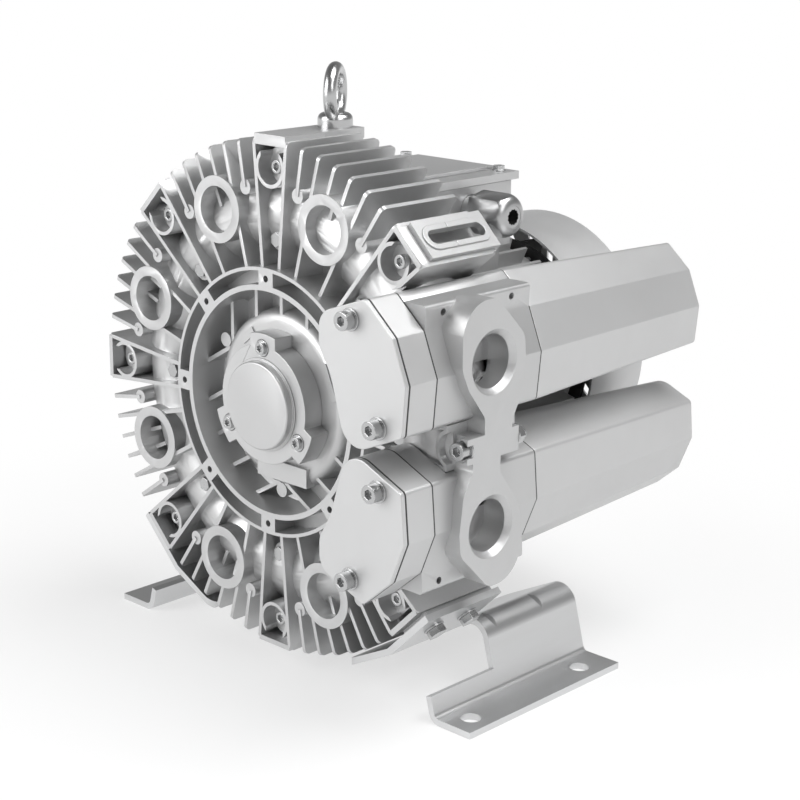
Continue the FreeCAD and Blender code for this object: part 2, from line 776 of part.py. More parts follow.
def front_casing():
    split = n.split_depth
    web = circle_meets(n.web_front, skin, -1)
    edge, slope = n.dome_edge, n.dome_edge * math.sqrt(0.5)
    corners = [
        (0, n.hub_depth), (n.dome_radius - edge, n.hub_depth),
        (n.dome_radius, n.hub_depth + edge), (n.dome_radius + 1, n.web_front),
        (n.ring_inner - 2, n.web_front), (n.ring_inner, n.web_front - 4), (n.ring_inner, 0),
        (n.ring_radius, 0), (n.ring_radius, n.web_front), (web, n.web_front), (skin_outer, split),
        (0, split),
    ]
    shoulder = (n.dome_radius - edge + slope, n.hub_depth + edge - slope)
    solid = turned_solid(corners, {1: shoulder, 9: (n.channel_pitch, skin_front)})
    solid = solid.cut(turned_solid([
        (n.ring_groove_inner, -1), (n.ring_groove_outer, -1),
        (n.ring_groove_outer, n.ring_groove_depth), (n.ring_groove_inner, n.ring_groove_depth)]))
    inside = n.ring_radius - n.fin_thickness / 2
    sector = []
    for step in range(1, int(SECTOR / FIN_STEP)):
        degrees = step * FIN_STEP
        lean = abs(degrees - EYE_ANGLE)
        start = inside
        if lean < 2 * FIN_STEP:
            start = fin_meets_eye(degrees, 1)
        elif lean < 3 * FIN_STEP:
            start = n.pin_pitch
        sector.append(outer_fin(start, n.fin_front, split, degrees))
    for side in (-1, 1):
        degrees = EYE_ANGLE + side * 1.5 * FIN_STEP
        sector.append(rib(inside, fin_meets_eye(degrees, -1), n.fin_thickness, n.fin_front, split,
                          degrees))
        degrees = EYE_ANGLE + side * 0.5 * FIN_STEP
        sector.append(rib(n.eye_pitch + 3, n.eye_pitch + n.eye_bore + 1, n.fin_thickness,
                          EYE_FIN_DEPTH, split, degrees))
    eye = round_bar(n.eye_radius, n.eye_front, n.web_front, n.eye_pitch)
    eye = eye.cut(round_bar(n.eye_bore, n.eye_front, n.web_front, n.eye_pitch))
    sector.append(around(eye, EYE_ANGLE))
    sector.append(rib(n.ring_groove_inner - 1, n.ring_groove_outer + 1, n.ring_pad, 0,
                      n.ring_groove_depth + 1))
    for degrees in (2 * FIN_STEP, SECTOR - 2 * FIN_STEP):
        pin = round_bar(n.pin_radius, n.pin_front, n.web_front, n.pin_pitch)
        sector.append(around(pin, degrees))
    sector.append(round_bar(PLUG_BOSS, plug_seat, plug_seat + n.channel_wall, plug_pitch))
    sector += bolt_box(n.fin_front, split)
    lift_pad = brick(bolt_roof, eyebolt_seat, n.fin_front, split, -LIFT_PAD, LIFT_PAD)
    solid = solid.multiFuse(every_sector(sector) + every_rail(rail(n.rail_front, split))
                            + bowl_ribs() + dome_pads() + [around(lift_pad, 90)])
    opening = brick(n.bolt_pitch, bolt_roof, -1, n.pocket_depth, -POCKET_OPENING, POCKET_OPENING)
    cuts = [channel_passage(), clear_of_port_side(-1, split + 1), clear_of_silencers(),
            round_bar(n.shaft_main + 1, n.hub_depth - 1, split),
            round_bar(n.seal_radius, web_back - n.seal_width, split)]
    cuts += rail_slots() + port_bores()
    cuts += every_sector([
        opening,
        round_bar(n.bolt_pocket, 0, n.pocket_depth, n.bolt_pitch),
        round_bar(M6_SHANK + n.thread_gap, 0, split + 1, n.bolt_pitch),
        round_bar(n.ring_hole / 2, -1, n.ring_groove_depth - 4, n.ring_hole_circle),
        round_bar(M6_SHANK + n.thread_gap, 0, plug_seat + PLUG_LENGTH, plug_pitch)])
    cover_hole = round_bar(M6_SHANK + n.thread_gap, 0, n.web_front - 3)
    cuts += [on_circle(cover_hole, n.lobe_pitch, degrees) for degrees in COVER_ANGLES]
    return solid.cut(Part.makeCompound(cuts))


def rear_casing():
    split = n.split_depth
    web = circle_meets(n.web_front, skin, -1)
    hub_end = rear_web_back + n.web_front / 2
    corners = [(0, split), (skin_outer, split), (web, rear_web_back),
               (n.flange_radius, rear_web_back), (n.flange_radius, n.motor_front),
               (n.core_radius, n.motor_front), (n.core_radius, rear_web_back),
               (n.hub_radius, rear_web_back), (n.hub_radius - 6, hub_end), (0, hub_end)]
    solid = turned_solid(corners, {1: (n.channel_pitch, split + skin)})
    inside = n.channel_pitch - n.channel_bore
    sector = [outer_fin(inside, split, n.casing_depth, step * FIN_STEP)
              for step in range(1, int(SECTOR / FIN_STEP))]
    sector += bolt_box(split, n.casing_depth)
    lift_pad = brick(bolt_roof, eyebolt_seat, split, n.rail_rear, -LIFT_PAD, LIFT_PAD)
    lift_boss = brick(n.bolt_pitch, bolt_roof, n.eyebolt_depth - LIFT_BOSS, n.rail_rear,
                      -LIFT_BOSS, LIFT_BOSS)
    solid = solid.multiFuse(every_sector(sector) + every_rail(rail(split, n.rail_rear))
                            + [around(lift_pad, 90), around(lift_boss, 90)])
    cuts = [channel_passage(), clear_of_port_side(split - 1, n.rail_rear + 1),
            round_bar(n.shaft_main + 1, split, hub_end + 1),
            round_bar(n.seal_radius, split, rear_web_front + n.seal_width)]
    cuts += rail_slots() + port_bores()
    cuts += every_sector([round_bar(M6_SHANK + n.thread_gap, split - 1, bolt_end + 1,
                                    n.bolt_pitch)])
    motor_bolt = round_bar(M8_SHANK + n.thread_gap, rear_web_front + 2, n.motor_front + 1)
    cuts += [on_circle(motor_bolt, motor_bolt_pitch, degrees) for degrees in rail_angles]
    cuts.append(Part.makeCylinder(n.eyebolt_thread + n.thread_gap, EYEBOLT_SHANK + 2,
                                  Vector(0, n.eyebolt_depth, eyebolt_seat - EYEBOLT_SHANK - 1)))
    return solid.cut(Part.makeCompound(cuts))


solid_node("front_casing", front_casing())
solid_node("rear_casing", rear_casing())
bolt = cap_screw(M6_HEAD, M6_HEIGHT, M6_SHANK, bolt_end - n.pocket_depth)
group("casing_bolts", [on_circle(bolt, n.bolt_pitch, degrees, n.pocket_depth)
                       for degrees in bolt_angles])
plug = hex_screw(PLUG_HEX, PLUG_HEAD, M6_SHANK, PLUG_LENGTH)
group("channel_plugs", [on_circle(plug, plug_pitch, degrees, plug_seat)
                        for degrees in bolt_angles])


# Bearing cover, round cap and the two bearings

COUNTERBORE = 1
COVER_SCREW_HOLD = 10
FRONT_BALLS = 9
REAR_BALLS = 8
CARRIER_LEAD = 6
CAGE_EDGE = 1.5

cover_face = -d.cover_front
cover = new_body("bearing_cover")
revolve(cover, [(0, cover_face), (d.hub_radius, cover_face), (d.hub_radius, d.hub_depth),
                (0, d.hub_depth)])
lobes = facing(cover, cover_face)
lobe_edge = root(d.lobe_reach * d.lobe_reach - d.lobe_half_width * d.lobe_half_width)
for degrees in COVER_ANGLES:
    outline(lobes, blade(d.lobe_half_width * 2, d.hub_radius / 2, lobe_edge, degrees),
            {1: ((0, 0), d.lobe_reach, 1)})
extrude(cover, lobes, d.hub_depth - cover_face)
bearing_room = facing(cover, cover_face + d.cover_wall)
circle_in(bearing_room, 0, 0, d.front_bearing_outer)
extrude(cover, bearing_room, d.hub_depth * 2, cut=True)
for length, radius in ((COUNTERBORE, M6_HEAD + 1.5),
                       (d.hub_depth * 3, M6_SHANK + d.thread_gap)):
    spots = facing(cover, cover_face)
    for degrees in COVER_ANGLES:
        circle_in(spots, *polar(d.lobe_pitch, degrees), radius)
    extrude(cover, spots, length, cut=True)

cap_face = cover_face - d.cap_height
cap_foot = cover_face - 1
turned_body("bearing_cap", [
    (0, cap_face), (d.cap_radius - 2, cap_face), (d.cap_radius - 1, cap_face + 1),
    (d.cap_radius - 1, cap_foot), (d.cap_radius + 1, cap_foot), (d.cap_radius + 1, cover_face),
    (0, cover_face)])
screw = cap_screw(M6_HEAD, M6_HEIGHT - 1, M6_SHANK,
                  n.hub_depth + n.cover_front - COUNTERBORE + COVER_SCREW_HOLD)
group("bearing_cover_screws", [on_circle(screw, n.lobe_pitch, degrees, COUNTERBORE - n.cover_front)
                               for degrees in COVER_ANGLES])


def bearing(name, bore, outer, width, front, balls):
    """Two races, and the cage that shares a node with its balls."""
    pitch = (bore + outer) / 2
    reach = d.ball_radius + d.ball_gap
    rear = front + width
    turned_body(f"{name}_outer_race", [(pitch + reach, front), (outer, front), (outer, rear),
                                       (pitch + reach, rear)])
    turned_body(f"{name}_inner_race", [(bore, front), (pitch - reach, front),
                                       (pitch - reach, rear), (bore, rear)])
    middle, radius = (front + width / 2).value, n.ball_radius
    places = [polar(pitch, 360 / balls * k) for k in range(balls)]
    centres = [Vector(float(across), middle, float(up)) for across, up in places]
    balls = [Part.makeSphere(radius, centre) for centre in centres]
    inner, far = pitch.value - radius / 3, pitch.value + radius / 3
    half = radius + CAGE_EDGE
    ring = turned_solid([(inner, middle - half), (far, middle - half),
                         (far, middle + half), (inner, middle + half)])
    pockets = [Part.makeCylinder(radius + n.ball_gap / 2, far * 2, Vector(0, middle, 0),
                                 centre - Vector(0, middle, 0)) for centre in centres]
    group(f"{name}_cage", [ring.cut(Part.makeCompound(pockets))] + balls)


front_race = d.hub_depth - d.front_bearing_width
bearing("front_bearing", d.front_bearing_bore, d.front_bearing_outer, d.front_bearing_width,
        front_race, FRONT_BALLS)
rear_race = d.motor_rear - CARRIER_LEAD
bearing("rear_bearing", d.rear_bearing_bore, d.rear_bearing_outer, d.rear_bearing_width,
        rear_race, REAR_BALLS)


# Shaft, impeller, key, spacer and seals

IMPELLER_FRONT = 37
IMPELLER_REAR = 51
ROTOR_SEAT = 20
FAN_SEAT = 11
FAN_FRONT = 261
FAN_REAR = 283
KEY_WIDTH = 6
VANES = 36
RIM_HALF = 2

split = d.split_depth
rotor_front = d.core_front - 10
rotor_rear = d.core_front + d.core_length + 10
shaft = turned_body("motor_shaft", [
    (0, front_race), (d.front_bearing_bore, front_race), (d.front_bearing_bore, IMPELLER_FRONT),
    (d.impeller_seat, IMPELLER_FRONT), (d.impeller_seat, IMPELLER_REAR),
    (d.shaft_main, IMPELLER_REAR), (d.shaft_main, rotor_front), (ROTOR_SEAT, rotor_front),
    (ROTOR_SEAT, rotor_rear), (d.impeller_seat, rotor_rear), (d.impeller_seat, rear_race),
    (d.rear_bearing_bore, rear_race), (d.rear_bearing_bore, FAN_FRONT), (FAN_SEAT, FAN_FRONT),
    (FAN_SEAT, FAN_REAR), (0, FAN_REAR)])
key_front, key_length = IMPELLER_FRONT + 1, IMPELLER_REAR - IMPELLER_FRONT - 2
key_low, key_high = d.impeller_seat - KEY_WIDTH / 2, d.impeller_seat + KEY_WIDTH / 2
keyway = facing(shaft, key_front)
box_in(keyway, -KEY_WIDTH / 2, KEY_WIDTH / 2, key_low, key_high)
extrude(shaft, keyway, key_length, cut=True)
turned_body("spacer_sleeve", [
    (d.front_bearing_bore, d.hub_depth), (d.shaft_main, d.hub_depth),
    (d.shaft_main, IMPELLER_FRONT), (d.front_bearing_bore, IMPELLER_FRONT)])

impeller = new_body("impeller")
rim, web_rim = d.channel_pitch + VANE_REACH, d.channel_pitch - VANE_REACH
web_near, web_far = split - d.impeller_web / 2, split + d.impeller_web / 2
revolve(impeller, [
    (d.impeller_seat, IMPELLER_FRONT), (d.impeller_hub, IMPELLER_FRONT),
    (d.impeller_hub, web_near), (web_rim + 1, web_near), (web_rim + 1, split - RIM_HALF),
    (rim, split - RIM_HALF), (rim, split + RIM_HALF), (web_rim + 1, split + RIM_HALF),
    (web_rim + 1, web_far), (d.impeller_hub, web_far), (d.impeller_hub, IMPELLER_REAR),
    (d.impeller_seat, IMPELLER_REAR)])
vane_sketch = facing(impeller, split - VANE_HALF_DEPTH)
box_in(vane_sketch, web_rim, rim, -d.vane_thickness / 2, d.vane_thickness / 2)
vane = extrude(impeller, vane_sketch, VANE_HALF_DEPTH * 2)
repeat(impeller, [vane], VANES)
hub_keyway = facing(impeller, IMPELLER_FRONT - 1)
box_in(hub_keyway, -KEY_WIDTH / 2, KEY_WIDTH / 2, key_low, key_high)
extrude(impeller, hub_keyway, IMPELLER_REAR - IMPELLER_FRONT + 2, cut=True)
key = new_body("impeller_key")
key_sketch = facing(key, key_front)
box_in(key_sketch, -KEY_WIDTH / 2, KEY_WIDTH / 2, key_low, key_high)
extrude(key, key_sketch, key_length)

seal_bore = d.shaft_main + d.running_gap
for label, start in (("front_shaft_seal", d.web_front + d.web_wall - d.seal_width),
                     ("rear_shaft_seal", split * 2 - d.web_front - d.web_wall)):
    turned_body(label, [(seal_bore, start), (d.seal_radius, start),
                        (d.seal_radius, start + d.seal_width), (seal_bore, start + d.seal_width)])
share("shaft_seals", ["front_shaft_seal", "rear_shaft_seal"])


# Motor: cores, windings, housing, rear end shield, fan and cowl

MOTOR_FINS = 36
FAN_BLADES = 9
END_RING = 6
END_RING_BORE = 24
WINDING_INSET = 5
LUG_WIDTH = 16
SADDLE_INSET = 6
LEAD_HOLE = 12
END_SCREW_HOLD = 12
END_SCREW_SHANK = 2
END_SCREW_TURN = 22.5
SHIELD_PLATE = 7
LUG_LENGTH = 16
COWL_SCREW_INSET = 5
GRILLE_SLOTS = 24
COWL_CORNER = 7

core_end = d.core_front + d.core_length
rotor_radius = d.core_bore - d.air_gap
turned_body("rotor_core", [
    (ROTOR_SEAT, d.core_front), (END_RING_BORE, d.core_front),
    (END_RING_BORE, d.core_front - END_RING), (rotor_radius, d.core_front - END_RING),
    (rotor_radius, core_end + END_RING), (END_RING_BORE, core_end + END_RING),
    (END_RING_BORE, core_end), (ROTOR_SEAT, core_end)])
turned_body("stator_core", [(d.core_bore, d.core_front), (d.core_radius, d.core_front),
                            (d.core_radius, core_end), (d.core_bore, core_end)])
near, far = n.core_bore + WINDING_INSET, n.core_radius - WINDING_INSET
group("stator_windings", [
    turned_solid([(near, start), (far, start), (far, start + n.winding_length),
                  (near, start + n.winding_length)])
    for start in (n.core_front - n.winding_length, core_end.value)])

tube = d.core_radius + d.motor_wall
flange_back = d.motor_front + d.flange_width
housing = new_body("motor_housing")
revolve(housing, [(0, d.motor_front), (d.flange_radius, d.motor_front),
                  (d.flange_radius, flange_back), (tube, flange_back), (tube, d.motor_rear),
                  (0, d.motor_rear)])
fin_sketch = facing(housing, flange_back + M8_HEIGHT + 2)
outline(fin_sketch, blade(d.motor_fin, tube - 1, d.motor_fin_radius, 180 / MOTOR_FINS))
motor_fin = extrude(housing, fin_sketch, d.motor_rear - flange_back - M8_HEIGHT - 6)
repeat(housing, [motor_fin], MOTOR_FINS)
saddle = facing(housing, d.box_front + SADDLE_INSET)
saddle_half = d.box_half_width - SADDLE_INSET
box_in(saddle, -saddle_half, saddle_half, tube / 2, d.box_floor)
extrude(housing, saddle, d.box_rear - d.box_front - SADDLE_INSET * 2)
bore = facing(housing, d.motor_front - 1)
circle_in(bore, 0, 0, d.core_radius)
extrude(housing, bore, d.motor_rear, cut=True)
flange_holes = facing(housing, d.motor_front - 1)
for degrees in rail_angles:
    circle_in(flange_holes, *polar(d.flange_radius - 10, degrees), M8_SHANK + d.thread_gap)
extrude(housing, flange_holes, d.flange_width + 2, cut=True)
box_middle = (d.box_front + d.box_rear) / 2
lead_hole = sketch_on(housing, "XY_Plane", d.core_radius / 2)
circle_in(lead_hole, 0, box_middle, LEAD_HOLE)
extrude(housing, lead_hole, d.box_floor, cut=True, back=False)
end_holes = facing(housing, d.motor_rear - END_SCREW_HOLD - 1)
for degrees in rail_angles:
    circle_in(end_holes, *polar(d.core_radius + d.motor_wall / 2, degrees + END_SCREW_TURN),
              END_SCREW_SHANK + d.thread_gap)
extrude(housing, end_holes, END_SCREW_HOLD + 2, cut=True)
bolt = cap_screw(M8_HEAD, M8_HEIGHT, M8_SHANK,
                 n.flange_width + n.motor_front - rear_web_front - 3)
group("motor_flange_screws", [
    on_circle(upright_copy(bolt, 0, 0, 0, -SHAFT), motor_bolt_pitch, degrees, flange_back.value)
    for degrees in rail_angles])

shield = new_body("rear_end_shield")
carrier = d.rear_bearing_outer + 6
plate_back = d.motor_rear + SHIELD_PLATE
race_end = rear_race + d.rear_bearing_width
bearing_lip = d.rear_bearing_outer - 5
revolve(shield, [
    (d.rear_bearing_outer, rear_race), (carrier, rear_race), (carrier, d.motor_rear),
    (tube, d.motor_rear), (tube, plate_back), (carrier, plate_back), (carrier, race_end + 2),
    (bearing_lip, race_end + 2), (bearing_lip, race_end), (d.rear_bearing_outer, race_end)])
lug_sketch = facing(shield, d.motor_rear)
for degrees in rail_angles:
    outline(lug_sketch, blade(size(LUG_WIDTH), tube - 4, d.cowl_radius - d.cowl_wall - 0.3, degrees))
extrude(shield, lug_sketch, LUG_LENGTH)
shield_holes = facing(shield, d.motor_rear - 1)
for degrees in rail_angles:
    circle_in(shield_holes, *polar(d.core_radius + d.motor_wall / 2, degrees + END_SCREW_TURN),
              END_SCREW_SHANK + d.thread_gap)
extrude(shield, shield_holes, SHIELD_PLATE + 2, cut=True)
end_screw = upright_copy(cap_screw(M5_HEAD - 1, M5_HEIGHT, END_SCREW_SHANK,
                                   SHIELD_PLATE + END_SCREW_HOLD), 0, 0, 0, -SHAFT)
group("end_shield_screws", [
    on_circle(end_screw, n.core_radius + n.motor_wall / 2, degrees + END_SCREW_TURN,
              plate_back.value) for degrees in rail_angles])

fan = turned_body("cooling_fan", [
    (FAN_SEAT, FAN_FRONT), (FAN_SEAT + 7, FAN_FRONT), (FAN_SEAT + 7, FAN_FRONT + 3),
    (d.fan_radius, FAN_FRONT + 3), (d.fan_radius, FAN_FRONT + 6), (FAN_SEAT + 7, FAN_FRONT + 6),
    (FAN_SEAT + 7, FAN_REAR), (FAN_SEAT, FAN_REAR)])
blade_sketch = facing(fan, FAN_FRONT + 5)
outline(blade_sketch, blade(size(2.5), FAN_SEAT + 6, d.fan_radius, 0))
fan_blade = extrude(fan, blade_sketch, 28)
repeat(fan, [fan_blade], FAN_BLADES)

cowl = new_body("fan_cowl")
inner_radius, inner_rear = d.cowl_radius - d.cowl_wall, d.cowl_rear - d.cowl_wall
revolve(cowl, [
    (0, d.cowl_rear), (d.cowl_radius - COWL_CORNER, d.cowl_rear),
    (d.cowl_radius, d.cowl_rear - COWL_CORNER), (d.cowl_radius, d.cowl_front),
    (inner_radius, d.cowl_front), (inner_radius, d.cowl_rear - COWL_CORNER),
    (inner_radius - COWL_CORNER + d.cowl_wall, inner_rear), (0, inner_rear)])
grille = facing(cowl, inner_rear - 1)
outline(grille, blade(size(6), size(30), d.fan_radius, 0))
slot = extrude(cowl, grille, d.cowl_wall + 2, cut=True)
repeat(cowl, [slot], GRILLE_SLOTS)


def radial(shape, radius, depth, degrees):
    """A screw that points at the shaft, the seat of its head at a radius."""
    inward = upright_copy(shape, radius, depth, 0, Vector(-1, 0, 0))
    return around(inward, degrees)


COWL_SCREW_DEPTH = n.cowl_front + COWL_SCREW_INSET
COWL_SCREW_LENGTH = 10
cowl_screw = cap_screw(M5_HEAD, M5_HEIGHT - 1, M5_SHANK, COWL_SCREW_LENGTH)
screw_room = Part.makeCompound([
    around(Part.makeCylinder(M5_SHANK + n.thread_gap, COWL_SCREW_LENGTH + 2,
                             Vector(n.cowl_radius - COWL_SCREW_LENGTH - 1, COWL_SCREW_DEPTH, 0),
                             Vector(1, 0, 0)), degrees) for degrees in rail_angles])
group("cowl_screws", [radial(cowl_screw, n.cowl_radius, COWL_SCREW_DEPTH, degrees)
                      for degrees in rail_angles])


def cut_node(label, tool):
    """Cut a plain solid out of a finished body; the result takes over the body's label."""
    body = parts[label]
    body.Label = label + "_blank"
    tool_item = doc.addObject("Part::Feature", label + "_tool")
    tool_item.Shape = tool
    place(tool_item)
    result = doc.addObject("Part::Cut", label + "_cut")
    result.Base = body
    result.Tool = tool_item
    result.Label = label
    parts[label] = result
    return result


cut_node("fan_cowl", screw_room)
cut_node("rear_end_shield", screw_room)


# Terminal box, cable gland and blanking plug

BOLT_INSET = 7
BOLT_POST = 6
LID_PANEL = 2
BOARD_HALF = 30
BOARD_HEIGHT = 8
STUD_RADIUS = 2.5
STUD_TOP = 14
GLAND_THREAD = 12
PLUG_THREAD = 9

box = new_body("terminal_box")
half, wall = d.box_half_width, d.box_wall


def plan(body, up):
    """A sketch that lies level at a height above the shaft, Y away from the ring."""
    return sketch_on(body, "XY_Plane", up)


base = plan(box, d.box_floor)
box_in(base, -half, half, d.box_front, d.box_rear)
extrude(box, base, d.box_top - d.box_floor, back=False)
room = plan(box, d.box_top)
box_in(room, wall - half, half - wall, d.box_front + wall, d.box_rear - wall)
extrude(box, room, d.box_top - d.box_floor - wall, cut=True, back=True)
posts = plan(box, d.box_floor)
post_places = [(side * (half - BOLT_INSET), depth) for side in (-1, 1)
               for depth in (d.box_front + BOLT_INSET, d.box_rear - BOLT_INSET)]
for across, depth in post_places:
    circle_in(posts, across, depth, BOLT_POST)
extrude(box, posts, d.box_top - d.box_floor, back=False)
tapped = plan(box, d.box_top)
for across, depth in post_places:
    circle_in(tapped, across, depth, M5_SHANK + d.thread_gap)
extrude(box, tapped, (d.box_top - d.box_floor) / 2, cut=True, back=True)
floor_hole = plan(box, d.box_floor + wall * 2)
circle_in(floor_hole, 0, box_middle, LEAD_HOLE)
extrude(box, floor_hole, wall * 3, cut=True, back=True)
entry = sketch_on(box, "YZ_Plane", half / 2)
circle_in(entry, d.gland_depth, d.gland_height, GLAND_THREAD)
circle_in(entry, d.plug_depth, d.gland_height, PLUG_THREAD)
extrude(box, entry, half, cut=True, back=False)

gasket = new_body("terminal_box_gasket")
sheet_sketch = plan(gasket, d.box_top)
box_in(sheet_sketch, -half, half, d.box_front, d.box_rear)
box_in(sheet_sketch, -half + BOLT_INSET * 2, half - BOLT_INSET * 2, d.box_front + BOLT_INSET * 2,
       d.box_rear - BOLT_INSET * 2)
for across, depth in post_places:
    circle_in(sheet_sketch, across, depth, M5_SHANK + d.thread_gap)
extrude(gasket, sheet_sketch, d.seal_sheet, back=False)

lid = new_body("terminal_box_lid")
lid_low = d.box_top + d.seal_sheet
lid_sketch = plan(lid, lid_low)
box_in(lid_sketch, -half - d.lid_rim, half + d.lid_rim, d.box_front - d.lid_rim,
       d.box_rear + d.lid_rim)
extrude(lid, lid_sketch, d.lid_height - LID_PANEL, back=False)
panel = plan(lid, lid_low)
box_in(panel, -half + BOLT_INSET * 2, half - BOLT_INSET * 2, d.box_front, d.box_rear)
extrude(lid, panel, d.lid_height, back=False)
lid_room = plan(lid, lid_low)
box_in(lid_room, -half + BOLT_INSET * 2, half - BOLT_INSET * 2, d.box_front + BOLT_INSET * 2,
       d.box_rear - BOLT_INSET * 2)
extrude(lid, lid_room, d.lid_height - 3, cut=True, back=False)
lid_holes = plan(lid, lid_low)
for across, depth in post_places:
    circle_in(lid_holes, across, depth, M5_SHANK + d.thread_gap)
extrude(lid, lid_holes, d.lid_height, cut=True, back=False)
lid_seat = (lid_low + d.lid_height - LID_PANEL).value
lid_bolt = hex_screw(M5_HEAD + 0.6, M5_HEIGHT, M5_SHANK, 20).fuse(round_bar(M5_HEAD + 1, -1, 0))
group("lid_bolts", [upright_copy(lid_bolt, float(across), float(depth), lid_seat, Vector(0, 0, -1))
                    for across, depth in post_places])

board = new_body("terminal_board")
board_sketch = plan(board, d.box_floor + wall)
board_front, board_rear = box_middle + LEAD_HOLE + 2, d.box_rear - wall - BOLT_POST * 2 - 2
box_in(board_sketch, -BOARD_HALF, BOARD_HALF, board_front, board_rear)
extrude(board, board_sketch, BOARD_HEIGHT, back=False)
board_top = n.box_floor + n.box_wall + BOARD_HEIGHT
stud_rows = [board_front.value + 6, board_rear.value - 6]
studs = [Part.makeCylinder(STUD_RADIUS, STUD_TOP, Vector(across, depth, board_top)).fuse(
    Part.makeCylinder(STUD_RADIUS * 2, 4, Vector(across, depth, board_top)))
    for across in (-BOARD_HALF * 0.6, 0, BOARD_HALF * 0.6) for depth in stud_rows]
group("terminal_studs", studs)


def side_turned(label, corners, depth, up, arcs=None):
    """A piece turned about an axis along X, drawn as (across, radius) corners."""
    body = new_body(label)
    sketch = sketch_on(body, "XZ_Plane", -size(depth))
    lifted = {index: ((across, up + radius), bend, turn)
              for index, ((across, radius), bend, turn) in (arcs or {}).items()}
    outline(sketch, [(across, up + radius) for across, radius in corners], lifted)
    axis = sketch.addGeometry(Part.LineSegment(
        Vector(0, float(up), 0), Vector(100, float(up), 0)), True)
    sketch.addConstraint(Sketcher.Constraint("Horizontal", axis))
    bind_point(sketch, axis, 1, size(0), up)
    feature = body.newObject("PartDesign::Revolution", "Turned")
    feature.Profile = sketch
    feature.ReferenceAxis = (sketch, ["Axis0"])
    feature.Angle = 360
    return body


inner_face = half - wall
nut_seat = half + 8
dome_start = nut_seat + 20.5
gland_end = dome_start + 13.1
dome_end = d.gland_bore + 2.5
dome_curve = root((gland_end - dome_start) * (gland_end - dome_start) + dome_end * dome_end)
side_turned("cable_gland_body", [
    (inner_face - 6, d.gland_bore + 2), (inner_face - 6, GLAND_THREAD), (half, GLAND_THREAD),
    (half, d.gland_hex - 1.5), (nut_seat, d.gland_hex - 1.5), (nut_seat, GLAND_THREAD),
    (nut_seat + 12, GLAND_THREAD), (nut_seat + 12, d.gland_bore + 2)], d.gland_depth, d.gland_height)
side_turned("cable_gland_locknut", [
    (inner_face - 4, GLAND_THREAD), (inner_face - 4, d.gland_hex), (inner_face, d.gland_hex),
    (inner_face, GLAND_THREAD)], d.gland_depth, d.gland_height)
side_turned("cable_gland_nut", [
    (nut_seat, GLAND_THREAD), (nut_seat, d.gland_hex), (dome_start, d.gland_hex),
    (dome_start, dome_curve), (gland_end, dome_end), (gland_end, d.gland_bore + 2),
    (nut_seat + 12, d.gland_bore + 2), (nut_seat + 12, GLAND_THREAD)],
    d.gland_depth, d.gland_height, {3: ((dome_start, 0), dome_curve, -1)})
side_turned("cable_gland_seal", [
    (inner_face, d.gland_bore), (inner_face, d.gland_bore + 2), (gland_end - 1, d.gland_bore + 2),
    (gland_end - 1, d.gland_bore)], d.gland_depth, d.gland_height)
side_turned("blanking_plug", [
    (inner_face - 4, 0), (inner_face - 4, PLUG_THREAD), (half, PLUG_THREAD),
    (half, PLUG_THREAD + 4), (half + 8, PLUG_THREAD + 4), (half + 15, PLUG_THREAD),
    (half + 15, PLUG_THREAD - 4), (half + 9, PLUG_THREAD - 4), (half + 9, 0)],
    d.plug_depth, d.gland_height)
for label, radius, start, stop in (
        ("cable_gland_body", n.gland_hex - 1.5, half, nut_seat),
        ("cable_gland_nut", n.gland_hex, nut_seat, dome_start)):
    length = float(stop) - float(start)
    flats = round_bar(radius + 2, 0, length).cut(hexagon(radius, 0, length))
    cut_node(label, upright_copy(flats, float(start), n.gland_depth, n.gland_height,
                                 Vector(1, 0, 0)))


# Silencers: cover, front part, adapter, rear tube, gaskets and foam liners


def inset(corners, distance):
    """The outline moved inwards, as (across, up) corners."""
    moved_lines = []
    for index, start in enumerate(corners):
        stop = corners[(index + 1) % len(corners)]
        run, rise = stop[0] - start[0], stop[1] - start[1]
        length = math.hypot(run, rise)
        inward = (rise / length * distance, -run / length * distance)
        moved_lines.append(((start[0] + inward[0], start[1] + inward[1]), (run, rise)))
    points = []
    for index, (base_point, way) in enumerate(moved_lines):
        before_point, before_way = moved_lines[index - 1]
        cross = before_way[0] * way[1] - before_way[1] * way[0]
        gap = (base_point[0] - before_point[0], base_point[1] - before_point[1])
        share = (gap[0] * way[1] - gap[1] * way[0]) / cross
        points.append((before_point[0] + before_way[0] * share,
                       before_point[1] + before_way[1] * share))
    return points


def upper_or_lower(corners, side):
    return [(across, up * side) for across, up in corners]


GASKET_WALLS = 4


def silencer_outline(distance, side):
    """The silencer's outline moved inwards, with rounded corners, above or below the shaft."""
    radii = [max(radius - distance, 1) for radius in SILENCER_RADII]
    return rounded(upper_or_lower(inset(SILENCER, distance), side), radii)


WINGED = SILENCER[:2] + [(144.6, n.wing_height), (n.wing_face, n.wing_height)] + SILENCER[2:]
WINGED_RADII = SILENCER_RADII[:2] + [0, 3, 0] + SILENCER_RADII[3:]
PILLAR = 9
HOLD = 12
chamber_front = n.seal_sheet + n.silencer_cover - n.silencer_front
chamber_rear = -n.silencer_seam - n.seal_sheet
tube_front = n.adapter_rear + n.seal_sheet


def pad_body(label, front, rear, side):
    """A prism across the shaft with the silencer's outline."""
    body = new_body(label)
    sketch = facing(body, front)
    outline(sketch, *silencer_outline(0, side))
    extrude(body, sketch, rear - front)
    return body


def pocket(body, wall, front, rear, side):
    """Open a prism with the silencer's outline, leaving a wall."""
    sketch = facing(body, front)
    outline(sketch, *silencer_outline(wall, side))
    return extrude(body, sketch, rear - front, cut=True)


def screw_holes(body, front, rear, side, radius):
    sketch = facing(body, front)
    for across, up in SILENCER_SCREWS:
        circle_in(sketch, across, up * side, radius)
    return extrude(body, sketch, rear - front, cut=True)


